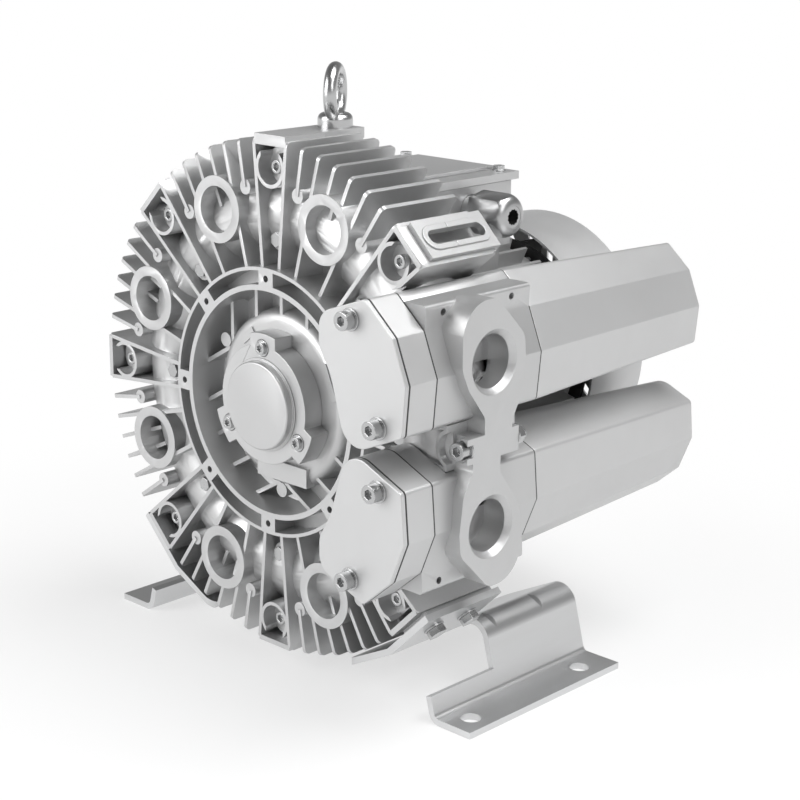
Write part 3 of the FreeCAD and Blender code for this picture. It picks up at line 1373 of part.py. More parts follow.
shank_room = M8_SHANK + d.thread_gap
for name, side in (("upper", 1), ("lower", -1)):
    plate = pad_body(f"{name}_silencer_cover", -d.silencer_front,
                     d.silencer_cover - d.silencer_front, side)
    screw_holes(plate, -d.silencer_front, d.silencer_cover - d.silencer_front, side, shank_room)
    front_seal = pad_body(f"{name}_cover_gasket", d.silencer_cover - d.silencer_front,
                          d.silencer_cover - d.silencer_front + d.seal_sheet, side)
    pocket(front_seal, n.silencer_wall * GASKET_WALLS, d.silencer_cover - d.silencer_front,
           d.silencer_cover - d.silencer_front + d.seal_sheet, side)
    screw_holes(front_seal, d.silencer_cover - d.silencer_front,
                d.silencer_cover - d.silencer_front + d.seal_sheet, side, shank_room)
    start = d.silencer_cover - d.silencer_front + d.seal_sheet
    stop = -d.silencer_seam - d.seal_sheet
    chamber = pad_body(f"{name}_silencer_front", start, stop, side)
    pocket(chamber, n.silencer_wall, start, stop, side)
    pillar_sketch = facing(chamber, start)
    for across, up in SILENCER_SCREWS:
        circle_in(pillar_sketch, across, up * side, PILLAR)
    extrude(chamber, pillar_sketch, stop - start)
    screw_holes(chamber, start, stop, side, shank_room)
    mid_seal = pad_body(f"{name}_front_gasket", stop, -d.silencer_seam, side)
    pocket(mid_seal, n.silencer_wall * GASKET_WALLS, stop, -d.silencer_seam, side)
    screw_holes(mid_seal, stop, -d.silencer_seam, side, shank_room)
    rear_seal = pad_body(f"{name}_rear_gasket", d.adapter_rear, d.adapter_rear + d.seal_sheet, side)
    pocket(rear_seal, n.silencer_wall * 2, d.adapter_rear, d.adapter_rear + d.seal_sheet, side)
share("silencer_gaskets", ["upper_cover_gasket", "lower_cover_gasket",
                           "upper_front_gasket", "lower_front_gasket"])
share("rear_gaskets", ["upper_rear_gasket", "lower_rear_gasket"])


def draft_shift(length):
    return math.tan(math.radians(n.silencer_draft)) * length


def tapered(near, front, rear, side):
    """A prism with the silencer's outline that narrows to the rear with its draft."""
    radii = [max(radius - near, 1) for radius in SILENCER_RADII]
    wires = []
    for depth in (front, rear):
        corners = inset(SILENCER, near + draft_shift(depth - tube_front))
        points, arcs = rounded(upper_or_lower(corners, side), radii)
        wires.append(rounded_wire(points, arcs, lambda spot: Vector(spot[0], depth, spot[1])))
    return Part.makeLoft(wires, True, True)


def winged(side):
    """The outline of an adapter, with the wing beside its port."""
    return rounded_prism(rounded(upper_or_lower(WINGED, side), WINGED_RADII), -n.silencer_seam,
                         n.adapter_rear)


WING_HOLES = (9, 78.5)
WING_HOLE_HEIGHT = 95
WING_HOLE = 2.5
DUCT_LOW = 48
DUCT_HIGH = 72
BYPASS = [(149, 81), (156, 81), (156, 88), (149, 88)]

duct = [(n.port_chamber, DUCT_LOW), (n.wing_face, DUCT_LOW), (n.wing_face, DUCT_HIGH),
        (n.port_chamber, DUCT_HIGH)]
casing_room = round_bar(skin_outer + n.seat_gap, casing_lead - n.seat_gap,
                        n.casing_depth + n.seat_gap)
rear_liners, front_liners = [], []
for name, side in (("upper", 1), ("lower", -1)):
    tools = port_bores() + [casing_room]
    tools.append(prism(upper_or_lower(duct, side), -n.silencer_seam, n.port_depth))
    tools.append(prism(upper_or_lower(BYPASS, side), -n.silencer_seam, n.adapter_rear))
    for across, up in SILENCER_SCREWS:
        tools.append(round_bar(M8_SHANK + n.thread_gap, -n.silencer_seam,
                               HOLD - n.silencer_seam + 1, across, up * side))
    for depth in WING_HOLES:
        start = Vector(n.wing_face - 10, depth, WING_HOLE_HEIGHT * side)
        tools.append(Part.makeCylinder(WING_HOLE, 12, start, Vector(1, 0, 0)))
    solid_node(f"{name}_adapter", winged(side).cut(Part.makeCompound(tools)))
    shell = tapered(0, tube_front, n.silencer_rear, side)
    hollow = tapered(n.silencer_wall, tube_front, n.silencer_rear - n.silencer_wall, side)
    solid_node(f"{name}_silencer_tube", shell.cut(hollow))
    lining = n.silencer_wall + n.foam_gap
    liner_rear = n.silencer_rear - n.silencer_wall - n.foam_gap
    liner = tapered(lining, tube_front + 1, liner_rear, side)
    core = tapered(lining + n.foam_thickness, tube_front + 1, liner_rear, side)
    rear_liners.append(liner.cut(core))
    front_liner = rounded_prism(silencer_outline(lining, side), chamber_front + n.foam_gap,
                                chamber_rear - n.foam_gap)
    core = rounded_prism(silencer_outline(lining + n.foam_thickness, side), chamber_front,
                         chamber_rear)
    pillars = [round_bar(PILLAR + n.foam_gap, chamber_front, chamber_rear, across, up * side)
               for across, up in SILENCER_SCREWS]
    front_liners.append(front_liner.cut(Part.makeCompound([core] + pillars)))
group("rear_foam_liners", rear_liners)
group("front_foam_liners", front_liners)

screw = cap_screw(M8_HEAD, M8_HEIGHT, M8_SHANK,
                  n.silencer_front - n.silencer_seam + HOLD + WASHER_THICKNESS)
ring = washer(M8_WASHER, M8_SHANK + n.thread_gap, WASHER_THICKNESS)
screw_places = [(across, up * side) for across, up in SILENCER_SCREWS for side in (1, -1)]
group("silencer_screws", [moved(screw, across, -n.silencer_front - WASHER_THICKNESS, up)
                          for across, up in screw_places])
washers = [moved(ring, across, -n.silencer_front, up) for across, up in screw_places]


# Port plate between the adapters, with its through bolt
# The upper half is drawn as (depth, up) corners; the lower half is the same turned half round.

PORT_OUTLINE = [(60, 0), (60, 14), (69, 31), (72.5, 57), (71, 73), (41, 103), (13, 103),
                (8, 95), (7.5, 58), (14.5, 43), (31.5, 21), (31.5, 0)]
PORT_RADII = [0, 5, 15, 12, 15, 10, 5, 5, 18, 15, 9, 0]
NECK_HALF = 9
NECK_FRONT = 14
NECK_SEAT = 20
NECK_REAR = 67
NECK_BOLT = 177
EAR_ROOT = 178


def port_plate():
    turned_half = [(2 * n.port_depth - depth, -up) for depth, up in PORT_OUTLINE]
    halves = []
    for corners in (PORT_OUTLINE, turned_half):
        points, arcs = rounded(corners, PORT_RADII)
        wire = rounded_wire(points, arcs, lambda place: Vector(n.plate_root, *place))
        halves.append(Part.Face(wire).extrude(Vector(n.port_face - n.plate_root, 0, 0)))
    neck = brick(n.plate_root, n.port_face, NECK_SEAT, NECK_REAR, -NECK_HALF, NECK_HALF)
    ear = brick(EAR_ROOT, n.port_face, NECK_FRONT, NECK_REAR, -NECK_HALF, NECK_HALF)
    plate = halves[0].multiFuse([halves[1], neck, ear]).removeSplitter()
    tools = port_bores() + [casing_room]
    tools.append(round_bar(M8_SHANK + n.thread_gap, 0, n.casing_depth, NECK_BOLT))
    tools.append(round_bar(M8_WASHER + 0.3, 0, NECK_SEAT, NECK_BOLT))
    for side in (1, -1):
        tools.append(winged(side))
        lip = Part.makeCone(n.port_bore, n.port_bore + n.port_lip, n.port_lip,
                            Vector(n.port_face - n.port_lip, n.port_depth, side * n.port_height),
                            Vector(1, 0, 0))
        tools.append(lip)
    return plate.cut(Part.makeCompound(tools))


solid_node("port_plate", port_plate())
neck_screw = cap_screw(M8_HEAD, M8_HEIGHT, M8_SHANK, NECK_REAR - NECK_SEAT + 14)
group("neck_screw", [moved(neck_screw, NECK_BOLT, NECK_SEAT - WASHER_THICKNESS, 0)])
washers.append(moved(ring, NECK_BOLT, NECK_SEAT, 0))
washers.append(moved(ring, NECK_BOLT, NECK_REAR + WASHER_THICKNESS, 0))
nut = hexagon(M8_HEX, 0, M8_NUT).cut(round_bar(M8_SHANK, 0, M8_NUT))
nuts = [moved(nut, NECK_BOLT, NECK_REAR + WASHER_THICKNESS, 0)]


# Foot brackets: two bent sheets that carry the casing, the left one the mirror of the right

LEAN = 27
CRADLE_EDGE = 20
SHEET_CORNER = 10

low = -d.shaft_height
level = (size(0), size(1))
plumb = (size(1), size(0))
upright = (cosine(d.foot_lean), sine(d.foot_lean))
flat = (sine(LEAN), -cosine(LEAN))
tilted = (sine(45), -cosine(45))
upright_reach = upright[0] * d.foot_upright + upright[1] * low
inner_reach = d.rail_reach
outer_reach = d.rail_reach + d.sheet_thickness
inner_bend = d.foot_bend - d.sheet_thickness
outer_corner = d.foot_corner + d.sheet_thickness


def crossing(first, first_reach, second, second_reach):
    """Where two lines cross, each given by its normal and its distance from the shaft."""
    share = first[0] * second[1] - first[1] * second[0]
    return ((first_reach * second[1] - second_reach * first[1]) / share,
            (first[0] * second_reach - second[0] * first_reach) / share)


def beside(point, normal, distance):
    return (point[0] + normal[0] * distance, point[1] + normal[1] * distance)


top_centre = crossing(upright, upright_reach - d.foot_bend, flat, inner_reach + d.foot_bend)
floor_centre = crossing(upright, upright_reach + d.foot_corner, level,
                        low + d.sheet_thickness + d.foot_corner)
flange = [(d.foot_half_width, low), (d.foot_half_width, low + d.sheet_thickness),
          (floor_centre[0], low + d.sheet_thickness), beside(floor_centre, upright, -d.foot_corner)]
flange_foot = [beside(floor_centre, upright, -outer_corner), (floor_centre[0], low)]
inner_end = crossing(flat, inner_reach, plumb, d.foot_end)
end_edge = beside(inner_end, flat, d.sheet_thickness)
over_bend = [beside(top_centre, upright, d.foot_bend), beside(top_centre, flat, -d.foot_bend)]
under_bend = [beside(top_centre, flat, -inner_bend), beside(top_centre, upright, inner_bend)]
sheet_path = flange + over_bend + [inner_end, end_edge] + under_bend + flange_foot
sheet_arcs = {2: (floor_centre, d.foot_corner, -1), 4: (top_centre, d.foot_bend, 1),
              8: (top_centre, inner_bend, -1), 10: (floor_centre, outer_corner, 1)}
cradle_path = [
    inner_end, crossing(flat, inner_reach, tilted, inner_reach),
    ((inner_reach + CRADLE_EDGE) * tilted[0], (CRADLE_EDGE - inner_reach) * tilted[0]),
    ((outer_reach + CRADLE_EDGE) * tilted[0], (CRADLE_EDGE - outer_reach) * tilted[0]),
    crossing(flat, outer_reach, tilted, outer_reach), end_edge]
strip_top = crossing(upright, upright_reach, level, low + d.foot_strip)
strip_path = flange + [strip_top, beside(strip_top, upright, -d.sheet_thickness)] + flange_foot
strip_arcs = {2: (floor_centre, d.foot_corner, -1), 6: (floor_centre, outer_corner, 1)}


def on_side(side, path, arcs):
    """A path and its arcs on the right-hand side, or their mirror images."""
    turned = {index: ((centre[0] * side, centre[1]), radius, turn * side)
              for index, (centre, radius, turn) in arcs.items()}
    return [(across * side, up) for across, up in path], turned


for label, side, foot_front in (("right_foot_bracket", 1, d.foot_front_right),
                                ("left_foot_bracket", -1, d.foot_front_left)):
    bracket = new_body(label)
    for path, arcs, front, rear in (
            (sheet_path, sheet_arcs, d.upright_front, d.foot_rear),
            (cradle_path, {}, d.cradle_front, d.upright_front + 1),
            (strip_path, strip_arcs, foot_front, d.upright_front + 1)):
        sheet_sketch = facing(bracket, front)
        outline(sheet_sketch, *on_side(side, path, arcs))
        extrude(bracket, sheet_sketch, rear - front)
    holes = plan(bracket, low - 1)
    for depth in (d.front_overhang, d.front_overhang + d.foot_span_along):
        circle_in(holes, d.foot_span_across / 2 * side, depth, d.foot_hole / 2)
    extrude(bracket, holes, d.sheet_thickness + 2, cut=True, back=False)

bolt_depths = (n.foot_bolt_front, n.foot_bolt_front + n.foot_bolt_spacing)
foot_rails = (315, 225)
bolts = []
outer_face = n.rail_reach + n.sheet_thickness
foot_bolt = hex_screw(M8_HEX, M8_HEX_HEIGHT, M8_SHANK, n.sheet_thickness + n.cap_plate
                      + M8_NUT + WASHER_THICKNESS + 1)
for degrees in foot_rails:
    for depth in bolt_depths:
        bolts.append(radial(foot_bolt, outer_face + WASHER_THICKNESS, depth, degrees))
        washers.append(radial(ring, outer_face, depth, degrees))
        nuts.append(radial(nut, n.rail_reach - n.cap_plate, depth, degrees))
group("foot_bolts", bolts)
group("washers", washers)
group("nuts", nuts)


def sheet_corner(side, end, way):
    """What the rounding takes off a corner at the inner end of a bracket."""
    across, depth = n.foot_end + SHEET_CORNER, end + way * SHEET_CORNER
    limits = sorted((side * across, side * (n.foot_end - 1)))
    block = brick(*limits, *sorted((depth, end - way)), -n.shaft_height, -n.shaft_height / 2)
    return block.cut(Part.makeCylinder(SHEET_CORNER, n.shaft_height,
                                       Vector(side * across, depth, -n.shaft_height)))


for label, side, degrees in (("right_foot_bracket", 1, foot_rails[0]),
                             ("left_foot_bracket", -1, foot_rails[1])):
    tools = [sheet_corner(side, n.cradle_front, 1), sheet_corner(side, n.foot_rear, -1)]
    for depth in bolt_depths:
        room_bar = Part.makeCylinder(M8_SHANK + n.thread_gap, n.sheet_thickness + 2,
                                     Vector(n.rail_reach - 1, depth, 0), Vector(1, 0, 0))
        tools.append(around(room_bar, degrees))
    cut_node(label, Part.makeCompound(tools))


# Eyebolt

COLLAR_HEIGHT = 10.5
COLLAR_ROUND = 5
EYE_TURN = 33
EYE_RISE = 24.5

eye_centre = eyebolt_seat + EYE_RISE
ring_way = Vector(math.cos(math.radians(EYE_TURN)), math.sin(math.radians(EYE_TURN)), 0)
eye_ring = Part.makeTorus(n.eyebolt_ring, n.eyebolt_wire, Vector(0, n.eyebolt_depth, eye_centre),
                          ring_way)
collar = Part.makeCylinder(n.eyebolt_collar, COLLAR_HEIGHT,
                           Vector(0, n.eyebolt_depth, eyebolt_seat))
top_edges = [edge for edge in collar.Edges if edge.BoundBox.ZMin > eyebolt_seat + 1]
collar = collar.makeFillet(COLLAR_ROUND, top_edges)
stem = Part.makeCylinder(n.eyebolt_thread, EYEBOLT_SHANK + 1,
                         Vector(0, n.eyebolt_depth, eyebolt_seat - EYEBOLT_SHANK))
solid_node("eyebolt", eye_ring.multiFuse([collar, stem]))


# Check every object, then write each piece to its own file

doc.recompute()
for item in doc.Objects:
    if "Invalid" in item.State or "Error" in item.State:
        raise RuntimeError(f"{item.Name} failed: {item.State}")
for name, item in parts.items():
    if item.Shape.isNull() or not item.Shape.isValid():
        raise RuntimeError(f"{name} has no valid shape")
    print(f"{name:24} {len(item.Shape.Solids):3} solids {item.Shape.Volume / 1000:9.1f} cm3")

os.makedirs("parts", exist_ok=True)
for name, item in parts.items():
    item.Shape.exportStep(f"parts/{name}.step")
print(len(parts), "pieces written")
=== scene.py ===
# %% [markdown]
# # Side channel blower
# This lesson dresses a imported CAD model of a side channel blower: a finned round casing, a
# flange motor, two silencers and two bent sheet feet. The CAD pieces fix every size and place.
# Blender rounds their edges, adds the small pieces that catch the light, and gives each
# surface its finish.
#
# Every piece stays in the CAD frame, in metres: the floor is at z = 0, the shaft runs along Y
# at a height of 210 mm, and the ports look along +X. Loading the frame comes first, because
# all the later cells ask it for places.

import json
import math

import bpy
from mathutils import Matrix, Vector

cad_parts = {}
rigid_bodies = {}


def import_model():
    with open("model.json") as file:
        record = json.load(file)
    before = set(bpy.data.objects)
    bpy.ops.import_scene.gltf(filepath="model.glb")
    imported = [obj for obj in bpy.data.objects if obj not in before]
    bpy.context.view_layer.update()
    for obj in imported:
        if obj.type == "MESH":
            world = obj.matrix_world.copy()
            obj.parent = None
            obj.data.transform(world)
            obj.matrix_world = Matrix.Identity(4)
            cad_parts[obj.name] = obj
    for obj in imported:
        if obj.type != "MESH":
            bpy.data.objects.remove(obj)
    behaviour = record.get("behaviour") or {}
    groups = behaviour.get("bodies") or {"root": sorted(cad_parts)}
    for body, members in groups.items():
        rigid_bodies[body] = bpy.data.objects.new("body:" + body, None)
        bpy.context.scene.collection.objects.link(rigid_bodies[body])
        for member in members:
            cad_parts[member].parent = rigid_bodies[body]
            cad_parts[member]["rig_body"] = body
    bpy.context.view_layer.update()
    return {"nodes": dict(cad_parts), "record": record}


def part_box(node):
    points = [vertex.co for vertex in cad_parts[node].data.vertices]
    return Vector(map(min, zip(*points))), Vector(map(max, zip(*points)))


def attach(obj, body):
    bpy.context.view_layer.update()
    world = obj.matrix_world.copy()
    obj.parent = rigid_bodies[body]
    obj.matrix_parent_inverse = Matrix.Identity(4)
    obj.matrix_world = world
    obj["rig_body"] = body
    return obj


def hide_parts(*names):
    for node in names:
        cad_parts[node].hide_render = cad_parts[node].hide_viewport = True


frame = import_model()
nodes = frame["nodes"]

# %% [markdown]
# The operators below act on whatever is selected, and loading leaves everything selected. So
# a small helper clears the selection, and another one names the body each CAD node belongs to.

# %% Small helpers
MM = 0.001
SHAFT_HEIGHT = 210 * MM
RING_FACE = -98 * MM


def select_none():
    bpy.ops.object.select_all(action="DESELECT")


def select_only(piece):
    select_none()
    bpy.context.view_layer.objects.active = piece
    piece.select_set(True)


def body_holding(node):
    return nodes[node]["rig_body"]


print("shaft at", SHAFT_HEIGHT, "m above the floor")

# %% [markdown]
# The photograph was taken from the front right and a little above. The camera's place and
# turn were worked out from the round casing, the upright port plate and the four feet, so the
# same lines run the same way here. A long lens keeps the fins nearly parallel.

# %% Camera
CAMERA_TURN = math.radians(43.57)
CAMERA_FALL = math.radians(15.91)
CAMERA_ROLL = math.radians(0.56)
CAMERA_PLACE = Vector((0.9648, -0.9709, 0.5835))
LENS = 83.04
SENSOR = 36

back = Vector((math.sin(CAMERA_TURN) * math.cos(CAMERA_FALL),
               -math.cos(CAMERA_TURN) * math.cos(CAMERA_FALL), math.sin(CAMERA_FALL)))
right = Vector((math.cos(CAMERA_TURN), math.sin(CAMERA_TURN), 0))
up = back.cross(right)
rolled_right = math.cos(CAMERA_ROLL) * right + math.sin(CAMERA_ROLL) * up
rolled_up = math.cos(CAMERA_ROLL) * up - math.sin(CAMERA_ROLL) * right

bpy.ops.object.camera_add()
camera = bpy.context.object
turn = Matrix((rolled_right, rolled_up, back)).transposed().to_4x4()
camera.matrix_world = Matrix.Translation(CAMERA_PLACE) @ turn
camera.data.lens = LENS
camera.data.sensor_width = SENSOR
bpy.context.scene.camera = camera
print("camera at", camera.matrix_world.translation)


# %% [markdown]
# Materials are written as sums. A small class holds one output of a node; adding or
# multiplying two of them adds the Math node that does it. Any other node comes from one
# function that takes its type, settings and inputs.

# %% Shader sums
class Value:
    def __init__(self, tree, socket):
        self.tree = tree
        self.socket = socket

    def math(self, operation, other, swapped=False):
        node = self.tree.nodes.new("ShaderNodeMath")
        node.operation = operation
        pair = (other, self) if swapped else (self, other)
        for slot, term in zip(node.inputs, pair):
            if isinstance(term, Value):
                self.tree.links.new(term.socket, slot)
            else:
                slot.default_value = term
        return Value(self.tree, node.outputs[0])

    def __add__(self, other):
        return self.math("ADD", other)

    __radd__ = __add__

    def __mul__(self, other):
        return self.math("MULTIPLY", other)

    __rmul__ = __mul__

    def __sub__(self, other):
        return self.math("SUBTRACT", other)

    def __rsub__(self, other):
        return self.math("SUBTRACT", other, swapped=True)


class Finish:
    """A material whose nodes are added one by one."""

    def __init__(self, name):
        self.material = bpy.data.materials.new(name)
        self.material.use_nodes = True
        self.tree = self.material.node_tree
        self.shader = self.tree.nodes["Principled BSDF"]
        self.place = self.node("ShaderNodeTexCoord", out="Object")

    def node(self, kind, settings=None, inputs=None, out=0):
        node = self.tree.nodes.new(kind)
        for name, setting in (settings or {}).items():
            setattr(node, name, setting)
        for name, term in (inputs or {}).items():
            if isinstance(term, Value):
                self.tree.links.new(term.socket, node.inputs[name])
            else:
                node.inputs[name].default_value = term
        return Value(self.tree, node.outputs[out])

    def noise(self, scale, detail=3.0, rough=0.55, stretch=(1, 1, 1)):
        place = self.node("ShaderNodeMapping", inputs={"Vector": self.place, "Scale": stretch})
        return self.node("ShaderNodeTexNoise",
                         inputs={"Vector": place, "Scale": scale, "Detail": detail,
                                 "Roughness": rough}, out="Fac")

    def between(self, low, high, share):
        """A colour between two others."""
        return self.node("ShaderNodeMix", {"data_type": "RGBA"},
                         {0: share, 6: (*low, 1), 7: (*high, 1)}, out=2)

    def bump(self, height, strength, distance):
        return self.node("ShaderNodeBump",
                         inputs={"Height": height, "Strength": strength, "Distance": distance},
                         out="Normal")

    def wear(self, **terms):
        """Set the shader's inputs, by name with spaces as underlines."""
        for name, term in terms.items():
            socket = self.shader.inputs[name.replace("_", " ")]
            if isinstance(term, Value):
                self.tree.links.new(term.socket, socket)
            else:
                socket.default_value = term
        return self.material


def grey(level, tint=0.0):
    """A neutral grey, slightly cool where tint is above 0."""
    return (level * (1 - tint), level, level * (1 + tint))


print("shader sums ready")

# %% [markdown]
# The castings are blasted aluminium with a satin silver skin: fairly bright, soft in its
# shine, with a fine grain that only shows up close. Three noises at three scales do that. The
# colour drifts over a hand's breadth, the roughness over a finger's breadth, and the grain is
# a bump of about a tenth of a millimetre. The machine is new, so no dust or wear is added.

# %% Cast skin
def cast_finish(name, level, rough, metallic=0.8, grain=0.5, grain_scale=1500):
    finish = Finish(name)
    cloud = finish.noise(9, 4)
    patch = finish.noise(60, 3)
    fine = finish.noise(grain_scale, 2)
    colour = finish.between(grey(level * 0.93), grey(level * 1.04, 0.006), cloud)
    return finish.wear(
        Base_Color=colour, Metallic=metallic, Roughness=rough - 0.05 + patch * 0.12,
        Normal=finish.bump(fine + patch * 0.5, grain, 0.00015))


cast_skin = cast_finish("cast_skin", 0.58, 0.4)
smooth_skin = cast_finish("smooth_cast_skin", 0.62, 0.44, 0.7, grain=0.35, grain_scale=2200)
print("cast skins made")

# %% [markdown]
# Plated screws, the bent sheets and the ground steel inside are whole metal: metallic 1, a
# darker or lighter grey, and a lower roughness than the castings. The rolled sheet has its
# noise stretched along the shaft, the way the sheet went through the rolls.

# %% Plated and ground metal
def sheen_finish(name, level, rough, metallic=1.0, scratch=0.25, stretch=(1, 1, 1)):
    finish = Finish(name)
    patch = finish.noise(45, 3, stretch=stretch)
    fine = finish.noise(900, 2, stretch=stretch)
    colour = finish.between(grey(level * 0.92), grey(level * 1.05, 0.01), patch)
    return finish.wear(
        Base_Color=colour, Metallic=metallic, Roughness=rough - 0.04 + patch * 0.1,
        Normal=finish.bump(fine, scratch, 0.0001))


zinc = sheen_finish("bright_zinc", 0.52, 0.24)
nickel = sheen_finish("satin_nickel", 0.48, 0.3)
steel = sheen_finish("ground_steel", 0.5, 0.3)
core_sheets = sheen_finish("core_sheets", 0.2, 0.5, 0.6)
copper = Finish("copper_wire").wear(Base_Color=(0.55, 0.22, 0.09, 1), Metallic=0.8, Roughness=0.35)
sheet_skin = sheen_finish("rolled_sheet", 0.7, 0.34, stretch=(1, 0.15, 1))
print("metals made")

# %% [markdown]
# The soft and moulded parts are dull: rubber seals, black plastic, and the open foam in the
# silencers. Then each CAD node gets the finish of its slot in the record. The silencers have
# the smoother of the two cast skins, because their long faces are drawn flat and plain.

# %% Dull finishes, and a finish for every node
def dull_finish(name, level, rough, scale=700):
    finish = Finish(name)
    patch = finish.noise(80, 3)
    fine = finish.noise(scale, 2)
    return finish.wear(
        Base_Color=finish.between(grey(level * 0.8), grey(level * 1.2), patch), Metallic=0.0,
        Roughness=rough - 0.05 + patch * 0.1, Normal=finish.bump(fine, 0.4, 0.0002))


rubber = dull_finish("black_rubber", 0.03, 0.7)
plastic = dull_finish("black_plastic", 0.05, 0.5)
foam = dull_finish("open_foam", 0.08, 0.9, 260)

slot_finish = {"cast": cast_skin, "cowl": smooth_skin, "sheet": sheet_skin, "zinc": zinc,
               "nickel": nickel, "steel": steel, "core": core_sheets, "copper": copper,
               "rubber": rubber, "plastic": plastic, "foam": foam}
slot_of = {entry["node"]: entry["material_slot"] for entry in frame["record"]["subparts"]}
for name, node in nodes.items():
    smooth = "silencer" in name and slot_of[name] == "cast"
    node.data.materials.clear()
    node.data.materials.append(smooth_skin if smooth else slot_finish[slot_of[name]])
print("finishes on", len(nodes), "nodes")

# %% [markdown]
# Each foot has two pressed dents across its upper bend, which stiffen it. A dent is a square
# prism laid across the bend with one corner down. The bend curves away from the straight
# prism, so the dent narrows to nothing at both ends without any further work. The prism is
# only a tool: a Boolean takes it from the sheet, and it is deleted.

# %% Tools that press the dents
BEND_CENTRE = Vector((130.15, 0, 38.4)) * MM
BEND_RADIUS = 16 * MM
BEND_MIDDLE = math.radians(66)
DENT_PLACES = (97 * MM, 150 * MM)
DENT_DEPTH = 2.6 * MM
DENT_HALF = 9 * MM
DENT_TOOL = 60 * MM


def dent_tool(side, depth):
    """A square prism across a bend, one corner pointing into the sheet."""
    out = Vector((math.cos(BEND_MIDDLE), 0, math.sin(BEND_MIDDLE)))
    place = BEND_CENTRE + out * (BEND_RADIUS - DENT_DEPTH + DENT_HALF)
    select_none()
    bpy.ops.mesh.primitive_cylinder_add(
        vertices=4, radius=DENT_HALF, depth=DENT_TOOL, location=(0, 0, 0))
    tool = bpy.context.object
    along = Vector((-math.sin(BEND_MIDDLE), 0, math.cos(BEND_MIDDLE)))
    across = Vector((0, 1, 0))
    turn = Matrix((out, across, along)).transposed().to_4x4()
    mirror = Matrix.Diagonal((side, 1, 1, 1))
    shift = Matrix.Translation((place.x, RING_FACE + depth, place.z))
    tool.data.transform(mirror @ shift @ turn)
    if side < 0:
        tool.data.flip_normals()
    return tool


dents = {"right_foot_bracket": [dent_tool(1, depth) for depth in DENT_PLACES],
         "left_foot_bracket": [dent_tool(-1, depth) for depth in DENT_PLACES]}
print(sum(len(tools) for tools in dents.values()), "tools for dents")

# %% [markdown]
# The port plate has a wide round shoulder at its upper front corner, and another at the lower
# rear one, because the lower half is the upper one turned half round. Each tool is a block
# with a cylinder taken out of it, so only what lies outside the arc is cut away. The plate's
# own box gives the places.

# %% Tools that round the port plate's shoulders
SHOULDER = 25 * MM
OVERSHOOT = 3 * MM


def take(piece, tool):
    """Cut a tool out of a piece and delete the tool."""
    select_only(piece)
    cut = piece.modifiers.new("cut", "BOOLEAN")
    cut.operation = "DIFFERENCE"
    cut.solver = "EXACT"
    cut.object = tool
    bpy.ops.object.modifier_apply(modifier="cut")
    bpy.data.objects.remove(tool)


def shoulder_tool(corner, inward):
    """What lies outside an arc at a corner; inward is -1 or 1 along Y and Z."""
    middle = corner + inward * SHOULDER
    side = SHOULDER + OVERSHOOT
    select_none()
    bpy.ops.mesh.primitive_cube_add(size=1)
    block = bpy.context.object
    block.data.transform(Matrix.Translation(middle - inward * side / 2)
                         @ Matrix.Diagonal((side * 4, side, side, 1)))
    select_none()
    bpy.ops.mesh.primitive_cylinder_add(
        vertices=128, radius=SHOULDER, depth=side * 5, location=middle,
        rotation=(0, math.pi / 2, 0))
    take(block, bpy.context.object)
    return block


plate_low, plate_high = (Vector(corner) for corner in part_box("port_plate"))
shoulders = [
    shoulder_tool(Vector((plate_high.x, plate_low.y, plate_high.z)), Vector((0, 1, -1))),
    shoulder_tool(Vector((plate_high.x, plate_high.y, plate_low.z)), Vector((0, -1, 1)))]
print("plate from", plate_low, "to", plate_high)

# %% [markdown]
# A casting has no sharp edges, and it is the light along its rounded edges that makes fins
# and ribs readable. Each piece is copied, its triangles are merged and its flat faces joined,
# and a Bevel modifier rounds what is left. Merging matters: a bevel on loose triangles would
# round every one of them. The bevel hardens its normals, which keeps the flat faces flat: only
# the narrow rounding bends the light. The copy then stands for the CAD node.
#
# The radius is chosen by how the real part is made: 0.7 mm on the cast fins, 3 mm on the heavy
# port plate, and a few tenths on screws and sheet. An edge counts as sharp from 35 degrees on,
# and on the dented feet from 20 degrees, so that the shallow ends of the dents stay crisp.

# %% Rounded pieces
SHARP = 35
DENT_SHARP = 20
MERGE = 0.02 * MM
FLAT = 1.0


def round_edges(piece, radius, sharp=SHARP, segments=2):
    """Bevel every sharp edge of a piece, keeping the faces beside it flat in the light."""
    select_only(piece)
    bpy.ops.object.shade_smooth_by_angle(angle=math.radians(sharp))
    bevel = piece.modifiers.new("edge", "BEVEL")
    bevel.width = radius
    bevel.segments = segments
    bevel.limit_method = "ANGLE"
    bevel.angle_limit = math.radians(sharp)
    bevel.harden_normals = True
    bpy.ops.object.modifier_apply(modifier="edge")


def soften(node, radius, sharp=SHARP, tools=()):
    """A copy of a CAD node with rounded edges, which takes the node's place."""
    piece = bpy.data.objects.new(node + "_soft", nodes[node].data.copy())
    bpy.context.scene.collection.objects.link(piece)
    select_only(piece)
    bpy.ops.object.mode_set(mode="EDIT")
    bpy.ops.mesh.select_all(action="SELECT")
    bpy.ops.mesh.remove_doubles(threshold=MERGE)
    bpy.ops.mesh.dissolve_limited(angle_limit=math.radians(FLAT))
    bpy.ops.object.mode_set(mode="OBJECT")
    for tool in tools:
        take(piece, tool)
    round_edges(piece, radius, sharp)
    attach(piece, body_holding(node))
    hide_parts(node)
    return piece


